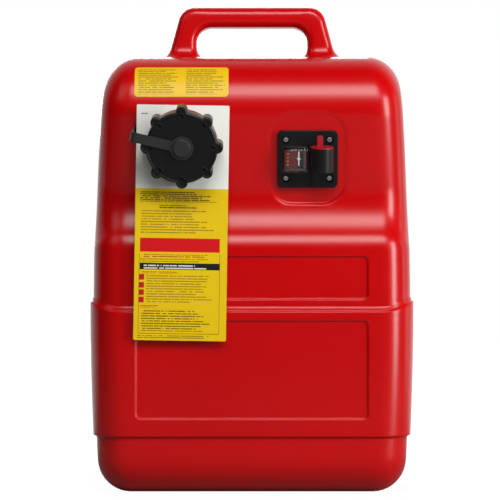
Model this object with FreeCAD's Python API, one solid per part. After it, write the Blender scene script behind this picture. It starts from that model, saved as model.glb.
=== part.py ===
import FreeCAD, Part
import math
import os

# Portable outboard fuel tank, in millimetres, standing on its end with the handle up.
# X runs across the tank, Y from the front face to the back, Z up. The front face carries
# the filler cap and the gauge. The origin is under the middle of the whole part.

# Tank body
bodyTop = 481.0
bodyDepth = 188.0
wall = 4.5
sideMiddleHalf = 174.0
sideBottomTaper = 4.5
sideTopTaper = 10.5
sideBottomZ = 30.0
sideMiddleZ = 250.0
sideTopZ = 455.0
sideRound = 34.0
endRound = 40.0
backTopRound = 45.0
shoulderRound = 60.0

# Sloping seat for the cap and the gauge, between the shoulder and a ramp
seatTilt = 11.0
rampStartZ = 265.0
rampAngle = 34.0
rampCrestRound = 36.0
rampFootRound = 68.0

# Belt round the lower half
beltProud = 3.5
beltBottomZ = 62.0
beltTopZ = 200.0
beltSideTopZ = 213.0
beltLevelHalf = 140.0

# Bare recessed panels in the front
panelDepth = 2.2
panelCorner = 5.0
upperPanelHalf = 126.0
upperPanelBottomZ = 213.0
upperPanelTopZ = 259.0
lowerPanelHalf = 126.0
lowerPanelBottomZ = 83.0
lowerPanelTopZ = 189.0

# Stiffening grooves in the back
grooveDepth = 3.0
grooveWidth = 34.0
grooveLength = 300.0
grooveSpacing = 150.0

# Handle
handleTop = 540.0
handleTopHalf = 79.0
handleFootHalf = 95.0
handleThickness = 34.0
handleCorner = 18.0
handleEdgeRound = 9.5
handleFlare = 12.0
gripBar = 22.5
gripHalf = 62.0
gripCorner = 17.0
handleFootRound = 14.0

# Neck and its thread land
neckX = -75.0
neckZ = 385.5
neckOuter = 33.0
neckBore = 26.5
neckRoot = 37.0
neckRootHeight = 3.0
collarTop = 27.0
threadRadius = 30.2
neckTop = 46.0

# Running and seating clearances
runningFit = 0.08
looseFit = 0.3
seatGap = 0.05

# Filler cap
capSkirtBottom = 27.6
capTop = 55.0
capValley = 38.5
capLobes = 8
lobeCentre = 38.0
lobeRound = 6.3
capTopRound = 1.8
capTopThickness = 3.0
pocketRadius = 33.8
pocketRound = 2.4
pocketDepth = 2.2
insertOuter = 34.2
insertBottom = 28.6
gasketThickness = 3.0

# Vent valve in the cap
cageOuter = 9.0
cageWall = 1.8
cageDepth = 11.0
cageFloor = 1.5
ventHole = 3.2
poppetRadius = 5.2
poppetThickness = 1.4
ventStem = 2.0
ventStemLength = 3.5
springWire = 0.7
springMean = 3.9
springTurns = 4

# Tether from the cap to the neck
postRadius = 7.0
buttonRadius = 9.4
buttonThickness = 2.2
eyeletOuter = 12.6
eyeletThickness = 2.6
strapAngle = 167.0
strapWidth = 10.5
strapThickness = 2.0
strapReach = 56.0
strapBend = 6.0
strapLowBend = 4.0
strapSplitHeight = 12.0
neckRingBottom = 3.4
neckRingThickness = 3.0
neckRingWidth = 4.0

# Hanging card on the neck
cardWidth = 100.3
cardAbove = 41.0
cardBelow = 214.0
cardThickness = 0.8
cardFloat = 6.0
cardHoleClearance = 0.5
cardLean = 0.9
cardCorner = 1.5

# Plain sticker on the shoulder
stickerLeft = -128.0
stickerRight = -25.5
stickerLowAngle = 11.5
stickerHighAngle = 49.0
stickerThickness = 0.35

# Gauge plate and what is fastened to it
gaugeX = 60.8
gaugeZ = 366.2
spotWidth = 84.0
spotHeight = 100.0
spotCorner = 26.0
spotDepth = 0.8
plateWidth = 66.0
plateHeight = 63.0
plateCorner = 6.0
plateThickness = 4.0
plateEdgeRound = 0.8
plateGasket = 1.5
openingWidth = 52.0
openingHeight = 29.0
openingCorner = 6.0
bossDepth = 12.0
bossRim = 1.0
screwAcross = 47.5
screwUp = 42.5
screwRadius = 2.1
screwHole = 2.4
screwHead = 3.8
screwHeadHeight = 2.4
screwRecess = 4.7
screwRecessDepth = 2.6
insertRadius = 3.6
insertLength = 9.0

# Gauge lens, dial and float
dialX = -13.5
dialAxisHeight = 4.6
dialRadius = 9.4
dialHalf = 9.3
windowWidth = 22.0
windowHeight = 22.6
lensWidth = 27.0
lensHeight = 26.5
lensRise = 12.0
lensWall = 1.6
lensCorner = 3.0
lensEndRound = 8.0
pinRadius = 1.5
lugThickness = lensHeight / 2 - lensWall - dialHalf - 2 * looseFit
lugRadius = 3.4
armWire = 1.1
armDrop = 26.0
armBend = 8.0
armReach = 150.0
armAngle = 45.0
floatRadius = 13.0
floatLength = 44.0
floatClipRadius = 3.4
floatClipThickness = 1.0

# Outlet barrel, its valve and the pickup
barrelX = 15.0
barrelRadius = 13.4
barrelHeight = 12.0
barrelBottom = -11.5
barrelTop = 14.0
socketRadius = 8.5
socketDepth = 12.0
seatRadius = 3.2
seatThickness = 2.0
chamberRadius = 6.4
endPlugThickness = 2.6
valveDisc = 5.6
valveDiscThickness = 1.6
valveStem = 2.4
valveStemRise = 6.0
plugFlange = 12.6
plugFlangeThickness = 1.3
plugShankLength = 3.6
plugShankWall = 1.6
plugTabWidth = 6.4
plugTabHeight = 12.5
plugTabThickness = 1.8
plugTabX = 13.0
tubeRadius = 4.0
tubeBore = 2.8
strainerRadius = 7.0
strainerLength = 22.0
strainerFloorGap = 4.0

tilt = math.radians(seatTilt)
ramp = math.radians(rampAngle)


def vec(x, y, z):
    return FreeCAD.Vector(x, y, z)


def arcThrough(a, b, c):
    return Part.Arc(vec(*a), vec(*b), vec(*c)).toShape()


def line(a, b):
    return Part.makeLine(vec(*a), vec(*b))


def disc(radius, low, high, x=0.0, y=0.0):
    return Part.makeCylinder(radius, high - low, vec(x, y, low))


def ring(outer, inner, low, high, x=0.0, y=0.0):
    return disc(outer, low, high, x, y).cut(disc(inner, low - 1, high + 1, x, y))


def roundedBlock(width, height, corner, low, high, x=0.0, y=0.0):
    """A prism with a rounded rectangle across and its length along Z."""
    block = Part.makeBox(width, height, high - low, vec(x - width / 2, y - height / 2, low))
    upright = [e for e in block.Edges if abs(e.tangentAt(e.FirstParameter).z) > 0.9]
    return block.makeFillet(corner, upright)


def fuse(shapes):
    return shapes[0].multiFuse(shapes[1:]).removeSplitter()


# Heights and depths that the body, the neck and the gauge share. A depth is measured
# inwards from the main front face.
footStartDepth = rampCrestRound * (1 - math.cos(ramp))
footStartZ = rampStartZ + rampCrestRound * math.sin(ramp)
footEndDepth = footStartDepth + rampFootRound * (math.cos(tilt) - math.cos(ramp))
footEndZ = footStartZ + rampFootRound * (math.sin(ramp) + math.sin(tilt))
shoulderCentreZ = bodyTop - shoulderRound
seatEndZ = shoulderCentreZ - shoulderRound * math.sin(tilt)
seatEndDepth = footEndDepth - (seatEndZ - footEndZ) * math.tan(tilt)
shoulderCentreDepth = seatEndDepth + shoulderRound * math.cos(tilt)


def seatDepth(z):
    return footEndDepth - (z - footEndZ) * math.tan(tilt)


def onSeat(shape, x, z, front, lift=0.0):
    """Puts a shape modelled with Z along the outward normal onto the sloping seat."""
    normal = vec(0, -math.cos(tilt), -math.sin(tilt))
    placed = shape.copy()
    turn = FreeCAD.Rotation(vec(1, 0, 0), 90 + seatTilt)
    seat = FreeCAD.Placement(vec(x, front + seatDepth(z), z) + normal * lift, turn)
    placed.Placement = seat.multiply(placed.Placement)
    return placed


def sideWire(front):
    """The outline of the body seen from the side, closed, with the front at the left."""
    def p(depth, z):
        return (0, front + depth, z)

    back = bodyDepth
    half = math.sqrt(0.5)
    footCentre = (footStartDepth - rampFootRound * math.cos(ramp), footStartZ + rampFootRound * math.sin(ramp))
    shoulderMid = math.radians((90 - seatTilt) / 2)
    edges = [
        arcThrough(p(endRound, 0), p(endRound * (1 - half), endRound * (1 - half)), p(0, endRound)),
        line(p(0, endRound), p(0, rampStartZ)),
        arcThrough(
            p(0, rampStartZ),
            p(rampCrestRound * (1 - math.cos(ramp / 2)), rampStartZ + rampCrestRound * math.sin(ramp / 2)),
            p(footStartDepth, footStartZ),
        ),
        arcThrough(
            p(footStartDepth, footStartZ),
            p(footCentre[0] + rampFootRound, footCentre[1]),
            p(footEndDepth, footEndZ),
        ),
        line(p(footEndDepth, footEndZ), p(seatEndDepth, seatEndZ)),
        arcThrough(
            p(seatEndDepth, seatEndZ),
            p(
                shoulderCentreDepth - shoulderRound * math.cos(shoulderMid),
                shoulderCentreZ + shoulderRound * math.sin(shoulderMid),
            ),
            p(shoulderCentreDepth, bodyTop),
        ),
        line(p(shoulderCentreDepth, bodyTop), p(back - backTopRound, bodyTop)),
        arcThrough(
            p(back - backTopRound, bodyTop),
            p(back - backTopRound * (1 - half), bodyTop - backTopRound * (1 - half)),
            p(back, bodyTop - backTopRound),
        ),
        line(p(back, bodyTop - backTopRound), p(back, endRound)),
        arcThrough(
            p(back, endRound),
            p(back - endRound * (1 - half), endRound * (1 - half)),
            p(back - endRound, 0),
        ),
        line(p(back - endRound, 0), p(endRound, 0)),
    ]
    return Part.Wire(edges)


def bodyBlock(front, grow):
    """The body without its handle, grown outwards by grow, or shrunk where grow is below zero."""
    profile = Part.Face(sideWire(front))
    if grow:
        profile = profile.makeOffset2D(grow)
    reach = 2 * sideMiddleHalf
    profile.translate(vec(-reach, 0, 0))
    prism = profile.extrude(vec(2 * reach, 0, 0))
    low, high = -endRound, bodyTop + endRound
    nearly = front - bodyDepth

    side = Part.Arc(
        vec(sideMiddleHalf - sideBottomTaper + grow, nearly, sideBottomZ),
        vec(sideMiddleHalf + grow, nearly, sideMiddleZ),
        vec(sideMiddleHalf - sideTopTaper + grow, nearly, sideTopZ),
    ).toShape().Curve
    outline = []
    for hand in (1, -1):
        def onSide(z):
            across = side.Center.x + math.sqrt(side.Radius ** 2 - (z - side.Center.z) ** 2)
            return (hand * across, nearly, z)

        outline.append(arcThrough(onSide(low), onSide(sideMiddleZ), onSide(high)))
    right, left = outline
    top = Part.makeLine(right.Vertexes[1].Point, left.Vertexes[1].Point)
    bottom = Part.makeLine(left.Vertexes[0].Point, right.Vertexes[0].Point)
    face = Part.Face(Part.Wire(Part.__sortEdges__([right, top, left, bottom])))
    block = prism.common(face.extrude(vec(0, 3 * bodyDepth, 0)))
    sides = [f for f in block.Faces if f.BoundBox.XLength < sideMiddleHalf / 2]
    rims = [e for f in sides for e in f.Edges]
    return block.makeFillet(sideRound + grow, rims)


def beltBlock(front):
    """The raised belt: a slice of a slightly larger body, open at the back."""
    reach, sideHalf = 2 * sideMiddleHalf, sideMiddleHalf + beltProud
    across, rise = sideHalf - beltLevelHalf, beltSideTopZ - beltTopZ
    radius = (across ** 2 + rise ** 2) / (2 * rise)
    sweep = math.asin(across / radius)
    bendX = beltLevelHalf + radius * math.sin(sweep / 2)
    bendZ = beltTopZ + radius * (1 - math.cos(sweep / 2))
    slab = [line((-reach, 0, beltBottomZ), (reach, 0, beltBottomZ))]
    for hand in (1, -1):
        slab += [
            line((hand * reach, 0, beltBottomZ), (hand * reach, 0, beltSideTopZ)),
            line((hand * reach, 0, beltSideTopZ), (hand * sideHalf, 0, beltSideTopZ)),
            arcThrough(
                (hand * sideHalf, 0, beltSideTopZ), (hand * bendX, 0, bendZ), (hand * beltLevelHalf, 0, beltTopZ)
            ),
        ]
    slab.append(line((beltLevelHalf, 0, beltTopZ), (-beltLevelHalf, 0, beltTopZ)))
    face = Part.Face(Part.Wire(Part.__sortEdges__(slab)))
    face.translate(vec(0, front - 2 * beltProud, 0))
    return bodyBlock(front, beltProud).common(face.extrude(vec(0, bodyDepth + 2 * beltProud, 0)))


def panelCutter(front, half, low, high):
    """A shallow rounded recess in a face that lies at the depth called front."""
    block = roundedBlock(2 * half, high - low, panelCorner, 0, 2 * panelDepth, 0, (low + high) / 2)
    block.rotate(vec(0, 0, 0), vec(1, 0, 0), 90)
    block.translate(vec(0, front + panelDepth, 0))
    return block


def backGrooves(front, grow):
    grooves = []
    for hand in (-1, 1):
        block = roundedBlock(
            grooveWidth + 2 * grow, grooveLength + 2 * grow, grooveWidth / 2.1 + grow, 0, 2 * (grooveDepth + grow)
        )
        block.rotate(vec(0, 0, 0), vec(1, 0, 0), 90)
        depth = front + bodyDepth + grooveDepth + grow
        block.translate(vec(hand * grooveSpacing / 2, depth, bodyTop / 2))
        grooves.append(block)
    return grooves


def handle(front):
    """The carrying loop, moulded in one with the tank, with its legs flared into the shoulder."""
    sunk = bodyTop - 2 * handleFlare
    rise = handleTop - bodyTop
    lean = (handleFootHalf - handleTopHalf) / rise
    footHalf = handleFootHalf + lean * (bodyTop - sunk)
    corners = [
        (-footHalf, 0, sunk),
        (-handleTopHalf, 0, handleTop),
        (handleTopHalf, 0, handleTop),
        (footHalf, 0, sunk),
    ]
    loop = Part.Face(Part.makePolygon([vec(*c) for c in corners + corners[:1]]))
    block = loop.extrude(vec(0, handleThickness, 0))
    topEdges = [
        e for e in block.Edges
        if abs(e.tangentAt(e.FirstParameter).y) > 0.9 and e.CenterOfMass.z > handleTop - 1
    ]
    block = block.makeFillet(handleCorner, topEdges)
    gripHeight = handleTop - gripBar - bodyTop
    grip = roundedBlock(2 * gripHalf, gripHeight + 2 * gripCorner, gripCorner, -1, handleThickness + 1)
    grip.rotate(vec(0, 0, 0), vec(1, 0, 0), 90)
    grip.translate(vec(0, handleThickness, bodyTop + gripHeight / 2 - gripCorner))
    block = block.cut(grip)
    rims = [
        e for e in block.Edges
        if abs(e.tangentAt(e.FirstParameter).y) < 0.1 and e.BoundBox.ZMax > sunk + 1
        and e.BoundBox.YLength < 0.1
    ]
    block = block.makeFillet(handleEdgeRound, rims)
    topMiddle = (shoulderCentreDepth + bodyDepth - backTopRound) / 2
    block.translate(vec(0, front + topMiddle - handleThickness / 2, 0))
    return block


def bodyWithHandle(front):
    """The body with the handle on it, blended where the legs meet the top."""
    joined = bodyBlock(front, 0).fuse(handle(front)).removeSplitter()
    foot = [
        e for e in joined.Edges
        if abs(e.BoundBox.ZMin - bodyTop) < 0.01 and abs(e.BoundBox.ZMax - bodyTop) < 0.01
        and e.BoundBox.XMin > -handleFootHalf - 1 and e.BoundBox.XMax < handleFootHalf + 1
        and e.BoundBox.YMin > front + shoulderCentreDepth + 1
        and e.BoundBox.YMax < front + bodyDepth - backTopRound - 1
    ]
    return joined.makeFillet(handleFootRound, foot)


def tankShell(front):
    """The blow-moulded tank: body, belt, handle and neck in one hollow piece."""
    outside = bodyWithHandle(front).fuse(beltBlock(front))
    outside = outside.cut(panelCutter(front, upperPanelHalf, upperPanelBottomZ, upperPanelTopZ))
    outside = outside.cut(panelCutter(front - beltProud, lowerPanelHalf, lowerPanelBottomZ, lowerPanelTopZ))
    for groove in backGrooves(front, 0):
        outside = outside.cut(groove)
    spot = roundedBlock(spotWidth, spotHeight, spotCorner, -spotDepth, 2 * shoulderRound)
    outside = outside.cut(onSeat(spot, gaugeX, gaugeZ, front))
    neck = fuse([
        disc(neckRoot, -wall, neckRootHeight),
        disc(neckOuter, -wall, collarTop),
        disc(threadRadius, 0, neckTop),
    ])
    outside = outside.fuse(onSeat(neck, neckX, neckZ, front))

    inside = bodyBlock(front, -wall)
    inside = inside.cut(panelCutter(front + wall, upperPanelHalf, upperPanelBottomZ, upperPanelTopZ))
    for groove in backGrooves(front, wall):
        inside = inside.cut(groove)
    boss = roundedBlock(plateWidth - bossRim, plateHeight - bossRim, plateCorner, -bossDepth, 0)
    inside = inside.cut(onSeat(boss, gaugeX, gaugeZ, front))
    shell = outside.cut(inside)
    shell = shell.cut(onSeat(disc(neckBore, -2 * wall, neckTop + 1), neckX, neckZ, front))

    holes = [roundedBlock(openingWidth, openingHeight, openingCorner, -bossDepth - 1, 1)]
    for x, y in screwPlaces():
        holes.append(disc(insertRadius + seatGap, -insertLength, 1, x, y))
    for hole in holes:
        shell = shell.cut(onSeat(hole, gaugeX, gaugeZ, front, -spotDepth))
    return shell


def screwPlaces():
    return [(sx * screwAcross / 2, sy * screwUp / 2) for sx in (-1, 1) for sy in (-1, 1)]


def roundTopped(shape, radius):
    """Rounds the highest rim of a disc or block."""
    top = max(v.Point.z for v in shape.Vertexes)
    rim = [e for e in shape.Edges if e.BoundBox.ZLength < 0.01 and e.BoundBox.ZMin > top - 0.01]
    return shape.makeFillet(radius, rim)


def capShell():
    """The lobed outer cap with a gripping pocket in each lobe."""
    turn = 2 * math.pi / capLobes
    body = roundTopped(disc(capValley, capSkirtBottom, capTop), capTopRound)
    lobes, pockets = [], []
    for i in range(capLobes):
        x, y = math.cos(turn * i), math.sin(turn * i)
        lobe = disc(lobeRound, capSkirtBottom, capTop, lobeCentre * x, lobeCentre * y)
        lobes.append(roundTopped(lobe, capTopRound))
        pockets.append(disc(pocketRound, capTop - pocketDepth, capTop + 1, pocketRadius * x, pocketRadius * y))
    body = fuse([body] + lobes)
    cavity = disc(insertOuter + seatGap, capSkirtBottom - 1, capTop - capTopThickness)
    return body.cut(Part.makeCompound(pockets + [cavity])).Solids[0]


def capInsert():
    """The threaded inner cup that grips the neck, with a collar for the vent cage."""
    top = capTop - capTopThickness - seatGap
    under = neckTop + seatGap + gasketThickness
    cup = disc(insertOuter, insertBottom, top).cut(disc(threadRadius + runningFit, insertBottom - 1, under))
    collar = disc(cageOuter + 2 * cageWall, under - cageDepth / 2, under)
    cup = cup.fuse(collar).removeSplitter()
    cup = cup.cut(disc(cageOuter + seatGap, under - cageDepth, under))
    return cup.cut(disc(ventHole / 2, under - 1, top + 1))


def capGasket():
    low = neckTop + seatGap
    return ring(threadRadius - looseFit, neckBore, low, low + gasketThickness - seatGap)


def cageHeights():
    top = neckTop + seatGap + gasketThickness - seatGap
    return top - cageDepth, top


def ventCage():
    low, high = cageHeights()
    cage = disc(cageOuter, low, high).cut(disc(cageOuter - cageWall, low + cageFloor, high + 1))
    return cage.cut(disc(ventHole, low - 1, high))


def ventPoppet():
    low = cageHeights()[0] + cageFloor + seatGap
    head = disc(poppetRadius, low, low + poppetThickness)
    return fuse([head, disc(ventStem, low, low + poppetThickness + ventStemLength)])


def coilSpring(low, high, name):
    """A round wire wound into an open helix of half-turn arcs, with its least gap printed."""
    rise = (high - low - springWire) / springTurns
    start = low + springWire / 2
    edges = []
    steps = 4 * springTurns

    def at(i):
        angle = 2 * math.pi * i / (4 * 2)
        return vec(springMean * math.cos(angle), springMean * math.sin(angle), start + rise * i / 8)

    for k in range(steps):
        edges.append(Part.Arc(at(2 * k), at(2 * k + 1), at(2 * k + 2)).toShape())
    path = Part.Wire(edges)
    direction = edges[0].tangentAt(edges[0].FirstParameter)
    section = Part.Wire(Part.makeCircle(springWire / 2, at(0), direction))
    coil = path.makePipeShell([section], True, False)
    print(name, "least gap between turns", round(rise - springWire, 3))
    return coil


def ventSpring():
    low, high = cageHeights()
    foot = low + cageFloor + seatGap + poppetThickness
    return coilSpring(foot + seatGap, high - seatGap, "vent spring")


def capButton():
    """The snap post that holds the tether on the cap."""
    over = capTop + looseFit + eyeletThickness + looseFit
    head = disc(buttonRadius, over, over + buttonThickness)
    rim = [e for e in head.Edges if e.BoundBox.ZLength < 0.01 and e.BoundBox.ZMin > over + 1]
    head = head.makeFillet(buttonThickness / 2, rim)
    return fuse([disc(postRadius, capTop, over + buttonThickness / 2), head])


def strapBlock(path):
    """A flat band of the strap's width along a path in the XZ plane, which is its outer face."""
    outer = Part.Wire(path)
    band = outer.makeOffset2D(-strapThickness, openResult=True)
    a, b = outer.OrderedVertexes[0].Point, outer.OrderedVertexes[-1].Point
    c, d = band.OrderedVertexes[0].Point, band.OrderedVertexes[-1].Point
    if (a - c).Length > (a - d).Length:
        c, d = d, c
    face = Part.Face(Part.Wire(Part.__sortEdges__(outer.Edges + band.Edges + [
        Part.makeLine(a, c), Part.makeLine(b, d),
    ])))
    face.translate(vec(0, -strapWidth / 2, 0))
    block = face.extrude(vec(0, strapWidth, 0))
    block.rotate(vec(0, 0, 0), vec(0, 0, 1), strapAngle)
    return block


def arcPoint(cx, cz, radius, degrees):
    a = math.radians(degrees)
    return (cx + radius * math.cos(a), 0, cz + radius * math.sin(a))


def capTether():
    """The eyelet under the button and the strap that runs out over the rim and turns down."""
    low = capTop + looseFit
    high = low + strapThickness
    turnX, turnZ = strapReach - strapBend, high - strapBend
    path = [
        line((eyeletOuter - 2, 0, high), (turnX, 0, high)),
        arcThrough(
            arcPoint(turnX, turnZ, strapBend, 90),
            arcPoint(turnX, turnZ, strapBend, 45),
            arcPoint(turnX, turnZ, strapBend, 0),
        ),
        line((strapReach, 0, turnZ), (strapReach, 0, strapSplitHeight)),
    ]
    eyelet = disc(eyeletOuter, low, low + eyeletThickness)
    whole = fuse([eyelet, strapBlock(path)])
    return whole.cut(disc(postRadius + looseFit, low - 1, high + 2))


def neckRing():
    """The tether's ring round the foot of the neck, with the short end of the strap."""
    low, high = neckRingBottom, neckRingBottom + neckRingThickness
    foot = low
    inner = neckOuter + looseFit
    turnX, turnZ = strapReach - strapLowBend, foot + strapLowBend
    path = [
        line((strapReach, 0, strapSplitHeight - looseFit), (strapReach, 0, turnZ)),
        arcThrough(
            arcPoint(turnX, turnZ, strapLowBend, 0),
            arcPoint(turnX, turnZ, strapLowBend, -45),
            arcPoint(turnX, turnZ, strapLowBend, -90),
        ),
        line((turnX, 0, foot), (inner + neckRingWidth / 2, 0, foot)),
    ]
    whole = fuse([ring(inner + neckRingWidth, inner, low, high), strapBlock(path)])
    return whole.cut(disc(inner, 0, collarTop))


def hangCard(front):
    """A stiff card that hangs on the neck in front of the tank, upright and turned a little."""
    hole = neckOuter / math.cos(tilt) + cardHoleClearance
    card = roundedBlock(
        cardWidth, cardAbove + cardBelow, cardCorner, 0, cardThickness, 0, (cardAbove - cardBelow) / 2
    )
    card = card.cut(disc(hole, -1, cardThickness + 1))
    card.rotate(vec(0, 0, 0), vec(0, 0, 1), -cardLean)
    card.rotate(vec(0, 0, 0), vec(1, 0, 0), 90)
    back = front - beltProud - cardFloat
    card.translate(vec(neckX, back, cardPivotZ()))
    return card


def cardPivotZ():
    """Where the neck's axis passes through the card."""
    reach = (seatDepth(neckZ) + beltProud + cardFloat + cardThickness / 2) / math.cos(tilt)
    return neckZ - reach * math.sin(tilt)


def shoulderSticker(front):
    """A thin sheet that follows the shoulder's curve."""
    centre = vec(stickerLeft, front + shoulderCentreDepth, shoulderCentreZ)
    width = stickerRight - stickerLeft
    axis = vec(1, 0, 0)
    outer = Part.makeCylinder(shoulderRound + stickerThickness, width, centre, axis)
    inner = Part.makeCylinder(shoulderRound + seatGap, width + 2, centre - vec(1, 0, 0), axis)
    sheet = outer.cut(inner)
    reach = 2 * shoulderRound
    lowRay = math.radians(180 - stickerLowAngle)
    highRay = math.radians(180 - stickerHighAngle)
    corners = [
        centre,
        centre + vec(0, math.cos(lowRay), math.sin(lowRay)) * reach,
        centre + vec(0, math.cos(highRay), math.sin(highRay)) * reach,
        centre,
    ]
    wedge = Part.Face(Part.makePolygon(corners)).extrude(vec(width, 0, 0))
    return sheet.common(wedge)


def plateTop():
    return plateGasket + plateThickness


def gaugePlate():
    """The black flange with its window, screw recesses, barrel rib and pivot lugs."""
    plate = roundedBlock(plateWidth, plateHeight, plateCorner, plateGasket, plateTop())
    rim = [e for e in plate.Edges if e.BoundBox.ZLength < 0.01 and e.BoundBox.ZMin > plateTop() - 0.01]
    plate = plate.makeFillet(plateEdgeRound, rim)
    for x, y in screwPlaces():
        plate = plate.cut(disc(screwRecess, plateTop() - screwRecessDepth, plateTop() + 1, x, y))
        plate = plate.cut(disc(screwHole, 0, plateTop() + 1, x, y))
    plate = plate.cut(roundedBlock(windowWidth, windowHeight, 1.0, 0, plateTop() + 1, dialX))
    for hand in (-1, 1):
        side = hand * (dialHalf + looseFit + lugThickness / 2)
        lug = Part.makeBox(
            2 * lugRadius, lugThickness, dialAxisHeight, vec(dialX - lugRadius, side - lugThickness / 2, 0)
        )
        eye = disc(lugRadius, -lugThickness / 2, lugThickness / 2)
        eye.rotate(vec(0, 0, 0), vec(1, 0, 0), 90)
        eye.translate(vec(dialX, side, dialAxisHeight))
        edge = Part.makeBox(
            windowWidth + 2, lugThickness, 1.6, vec(dialX - windowWidth / 2 - 1, side - lugThickness / 2, plateGasket)
        )
        plate = plate.fuse([lug, eye, edge])
    plate = plate.removeSplitter()
    pinHole = disc(pinRadius, -plateHeight, plateHeight)
    pinHole.rotate(vec(0, 0, 0), vec(1, 0, 0), 90)
    pinHole.translate(vec(dialX, 0, dialAxisHeight))
    plate = plate.cut(pinHole)
    saddleTop = plateTop() + barrelHeight
    saddle = Part.makeBox(
        barrelRadius * 1.5, barrelTop - barrelBottom, saddleTop - plateTop(),
        vec(barrelX - barrelRadius * 0.75, barrelBottom, plateTop()),
    )
    rib = Part.makeBox(
        1.4, plateHeight / 2 + barrelBottom - 3, 3.0,
        vec(barrelX - barrelRadius * 0.75, -plateHeight / 2 + 3, plateTop()),
    )
    plate = plate.fuse([saddle.cut(barrelForm(barrelRadius + seatGap)), rib]).removeSplitter()
    return plate.cut(disc(tubeRadius + seatGap, -1, plateTop() + seatGap, barrelX, tubeY()))


def barrelForm(radius):
    """A round bar along the barrel's axis, from end to end."""
    form = disc(radius, barrelBottom, barrelTop)
    form.rotate(vec(0, 0, 0), vec(1, 0, 0), -90)
    form.translate(vec(barrelX, 0, plateTop() + barrelHeight))
    return form


def alongBarrel(shape):
    """Turns a shape modelled along Z so that it lies along the barrel, Z towards the handle."""
    placed = shape.copy()
    placed.rotate(vec(0, 0, 0), vec(1, 0, 0), -90)
    placed.translate(vec(barrelX, 0, plateTop() + barrelHeight))
    return placed


def gasketSheet():
    """The rubber sheet between the gauge plate and the tank."""
    sheet = roundedBlock(plateWidth - 2, plateHeight - 2, plateCorner, 0, plateGasket)
    sheet = sheet.cut(roundedBlock(openingWidth, openingHeight, openingCorner, -1, plateGasket + 1))
    for x, y in screwPlaces():
        sheet = sheet.cut(disc(screwHole, -1, plateGasket + 1, x, y))
    return sheet


def plateScrews():
    """Four screws, each with a cross slot in its head."""
    screws = []
    under = plateTop() - screwRecessDepth
    for x, y in screwPlaces():
        head = disc(screwHead, under, under + screwHeadHeight, x, y)
        rim = [e for e in head.Edges if e.BoundBox.ZLength < 0.01 and e.BoundBox.ZMin > under + 1]
        head = head.makeFillet(screwHeadHeight / 3, rim)
        screw = fuse([head, disc(screwRadius, looseFit - insertLength, under + 1, x, y)])
        slotWidth = screwRadius / 3
        for width, height in ((screwHead, slotWidth), (slotWidth, screwHead)):
            slot = Part.makeBox(
                width, height, screwHeadHeight,
                vec(x - width / 2, y - height / 2, under + screwHeadHeight / 2),
            )
            screw = screw.cut(slot)
        screws.append(screw)
    return Part.makeCompound(screws)


def threadedInserts():
    """Four brass inserts moulded into the boss behind the gauge."""
    sleeves = [
        ring(insertRadius, screwRadius + seatGap, -insertLength, 0, x, y)
        for x, y in screwPlaces()
    ]
    return Part.makeCompound(sleeves)


def lensForm(inset):
    """The lens block with its outer end rounded over, smaller by inset all round."""
    width, height = lensWidth - 2 * inset, lensHeight - 2 * inset
    low, top = plateTop(), plateTop() + lensRise - inset
    form = Part.makeBox(width, height, top - low, vec(dialX - width / 2, -height / 2, low))
    endEdge = [
        e for e in form.Edges
        if e.BoundBox.ZMin > top - 0.01 and e.BoundBox.XMax < dialX
    ]
    form = form.makeFillet(lensEndRound - inset, endEdge)
    topEdges = [
        e for e in form.Edges
        if e.BoundBox.ZMin > low + 1 and e.BoundBox.XLength + e.BoundBox.YLength > 1
        and not (e.BoundBox.YLength > 1 and e.BoundBox.XMax < dialX)
    ]
    return form.makeFillet(lensCorner / 2 - inset / 2, topEdges)


def gaugeLens():
    """The clear cover over the dial, hollow and open towards the plate."""
    low = plateTop()
    mouth = Part.makeBox(
        lensWidth - 2 * lensWall, lensHeight - 2 * lensWall, 1,
        vec(dialX - lensWidth / 2 + lensWall, -lensHeight / 2 + lensWall, low - 0.5),
    )
    return lensForm(0).cut(lensForm(lensWall)).cut(mouth)


def acrossDial(shape):
    """Turns a shape modelled along Z so that it lies along the dial's axis."""
    placed = shape.copy()
    placed.rotate(vec(0, 0, 0), vec(1, 0, 0), -90)
    placed.translate(vec(dialX, 0, dialAxisHeight))
    return placed


def pivotPin():
    half = dialHalf + looseFit + lugThickness
    return acrossDial(disc(pinRadius - seatGap / 2, -half, half))


def gaugeDial():
    """The drum that shows the level through the lens, bored for its pin and its arm."""
    drum = acrossDial(ring(dialRadius, pinRadius + seatGap, -dialHalf, dialHalf))
    armTop = armRoute()[0][2]
    return drum.cut(disc(armWire + seatGap, dialAxisHeight - dialRadius - 1, armTop + seatGap, dialX))


def floatPlace():
    """Where the float's axis crosses the arm's plane, with the tank half full."""
    a = math.radians(armAngle)
    return dialX - armReach * math.cos(a), dialAxisHeight - armReach * math.sin(a)


def armRoute():
    """The wire's line: down from the dial, out to the float, then along the float's axis."""
    x, z = floatPlace()
    end = armBend + floatLength + floatClipThickness + 2
    return [
        (dialX, 0, dialAxisHeight - dialRadius + 3),
        (dialX, 0, dialAxisHeight - armDrop),
        (x, 0, z),
        (x, end, z),
    ]


def barAlong(points, bend, radius):
    """A round bar along straight runs joined by tangent arcs."""
    points = [vec(*p) for p in points]
    edges, start = [], points[0]
    for i in range(1, len(points) - 1):
        before = (points[i - 1] - points[i]).normalize()
        after = (points[i + 1] - points[i]).normalize()
        half = before.getAngle(after) / 2
        reach = bend / math.tan(half)
        a, b = points[i] + before * reach, points[i] + after * reach
        inward = (before + after).normalize()
        middle = points[i] + inward * (bend / math.sin(half) - bend)
        edges.append(Part.makeLine(start, a))
        edges.append(Part.Arc(a, middle, b).toShape())
        start = b
    edges.append(Part.makeLine(start, points[-1]))
    section = Part.Wire(Part.makeCircle(radius, points[0], points[1] - points[0]))
    return Part.Wire(edges).makePipeShell([section], True, False)


def floatArm():
    return barAlong(armRoute(), armBend / 2, armWire)


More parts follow.
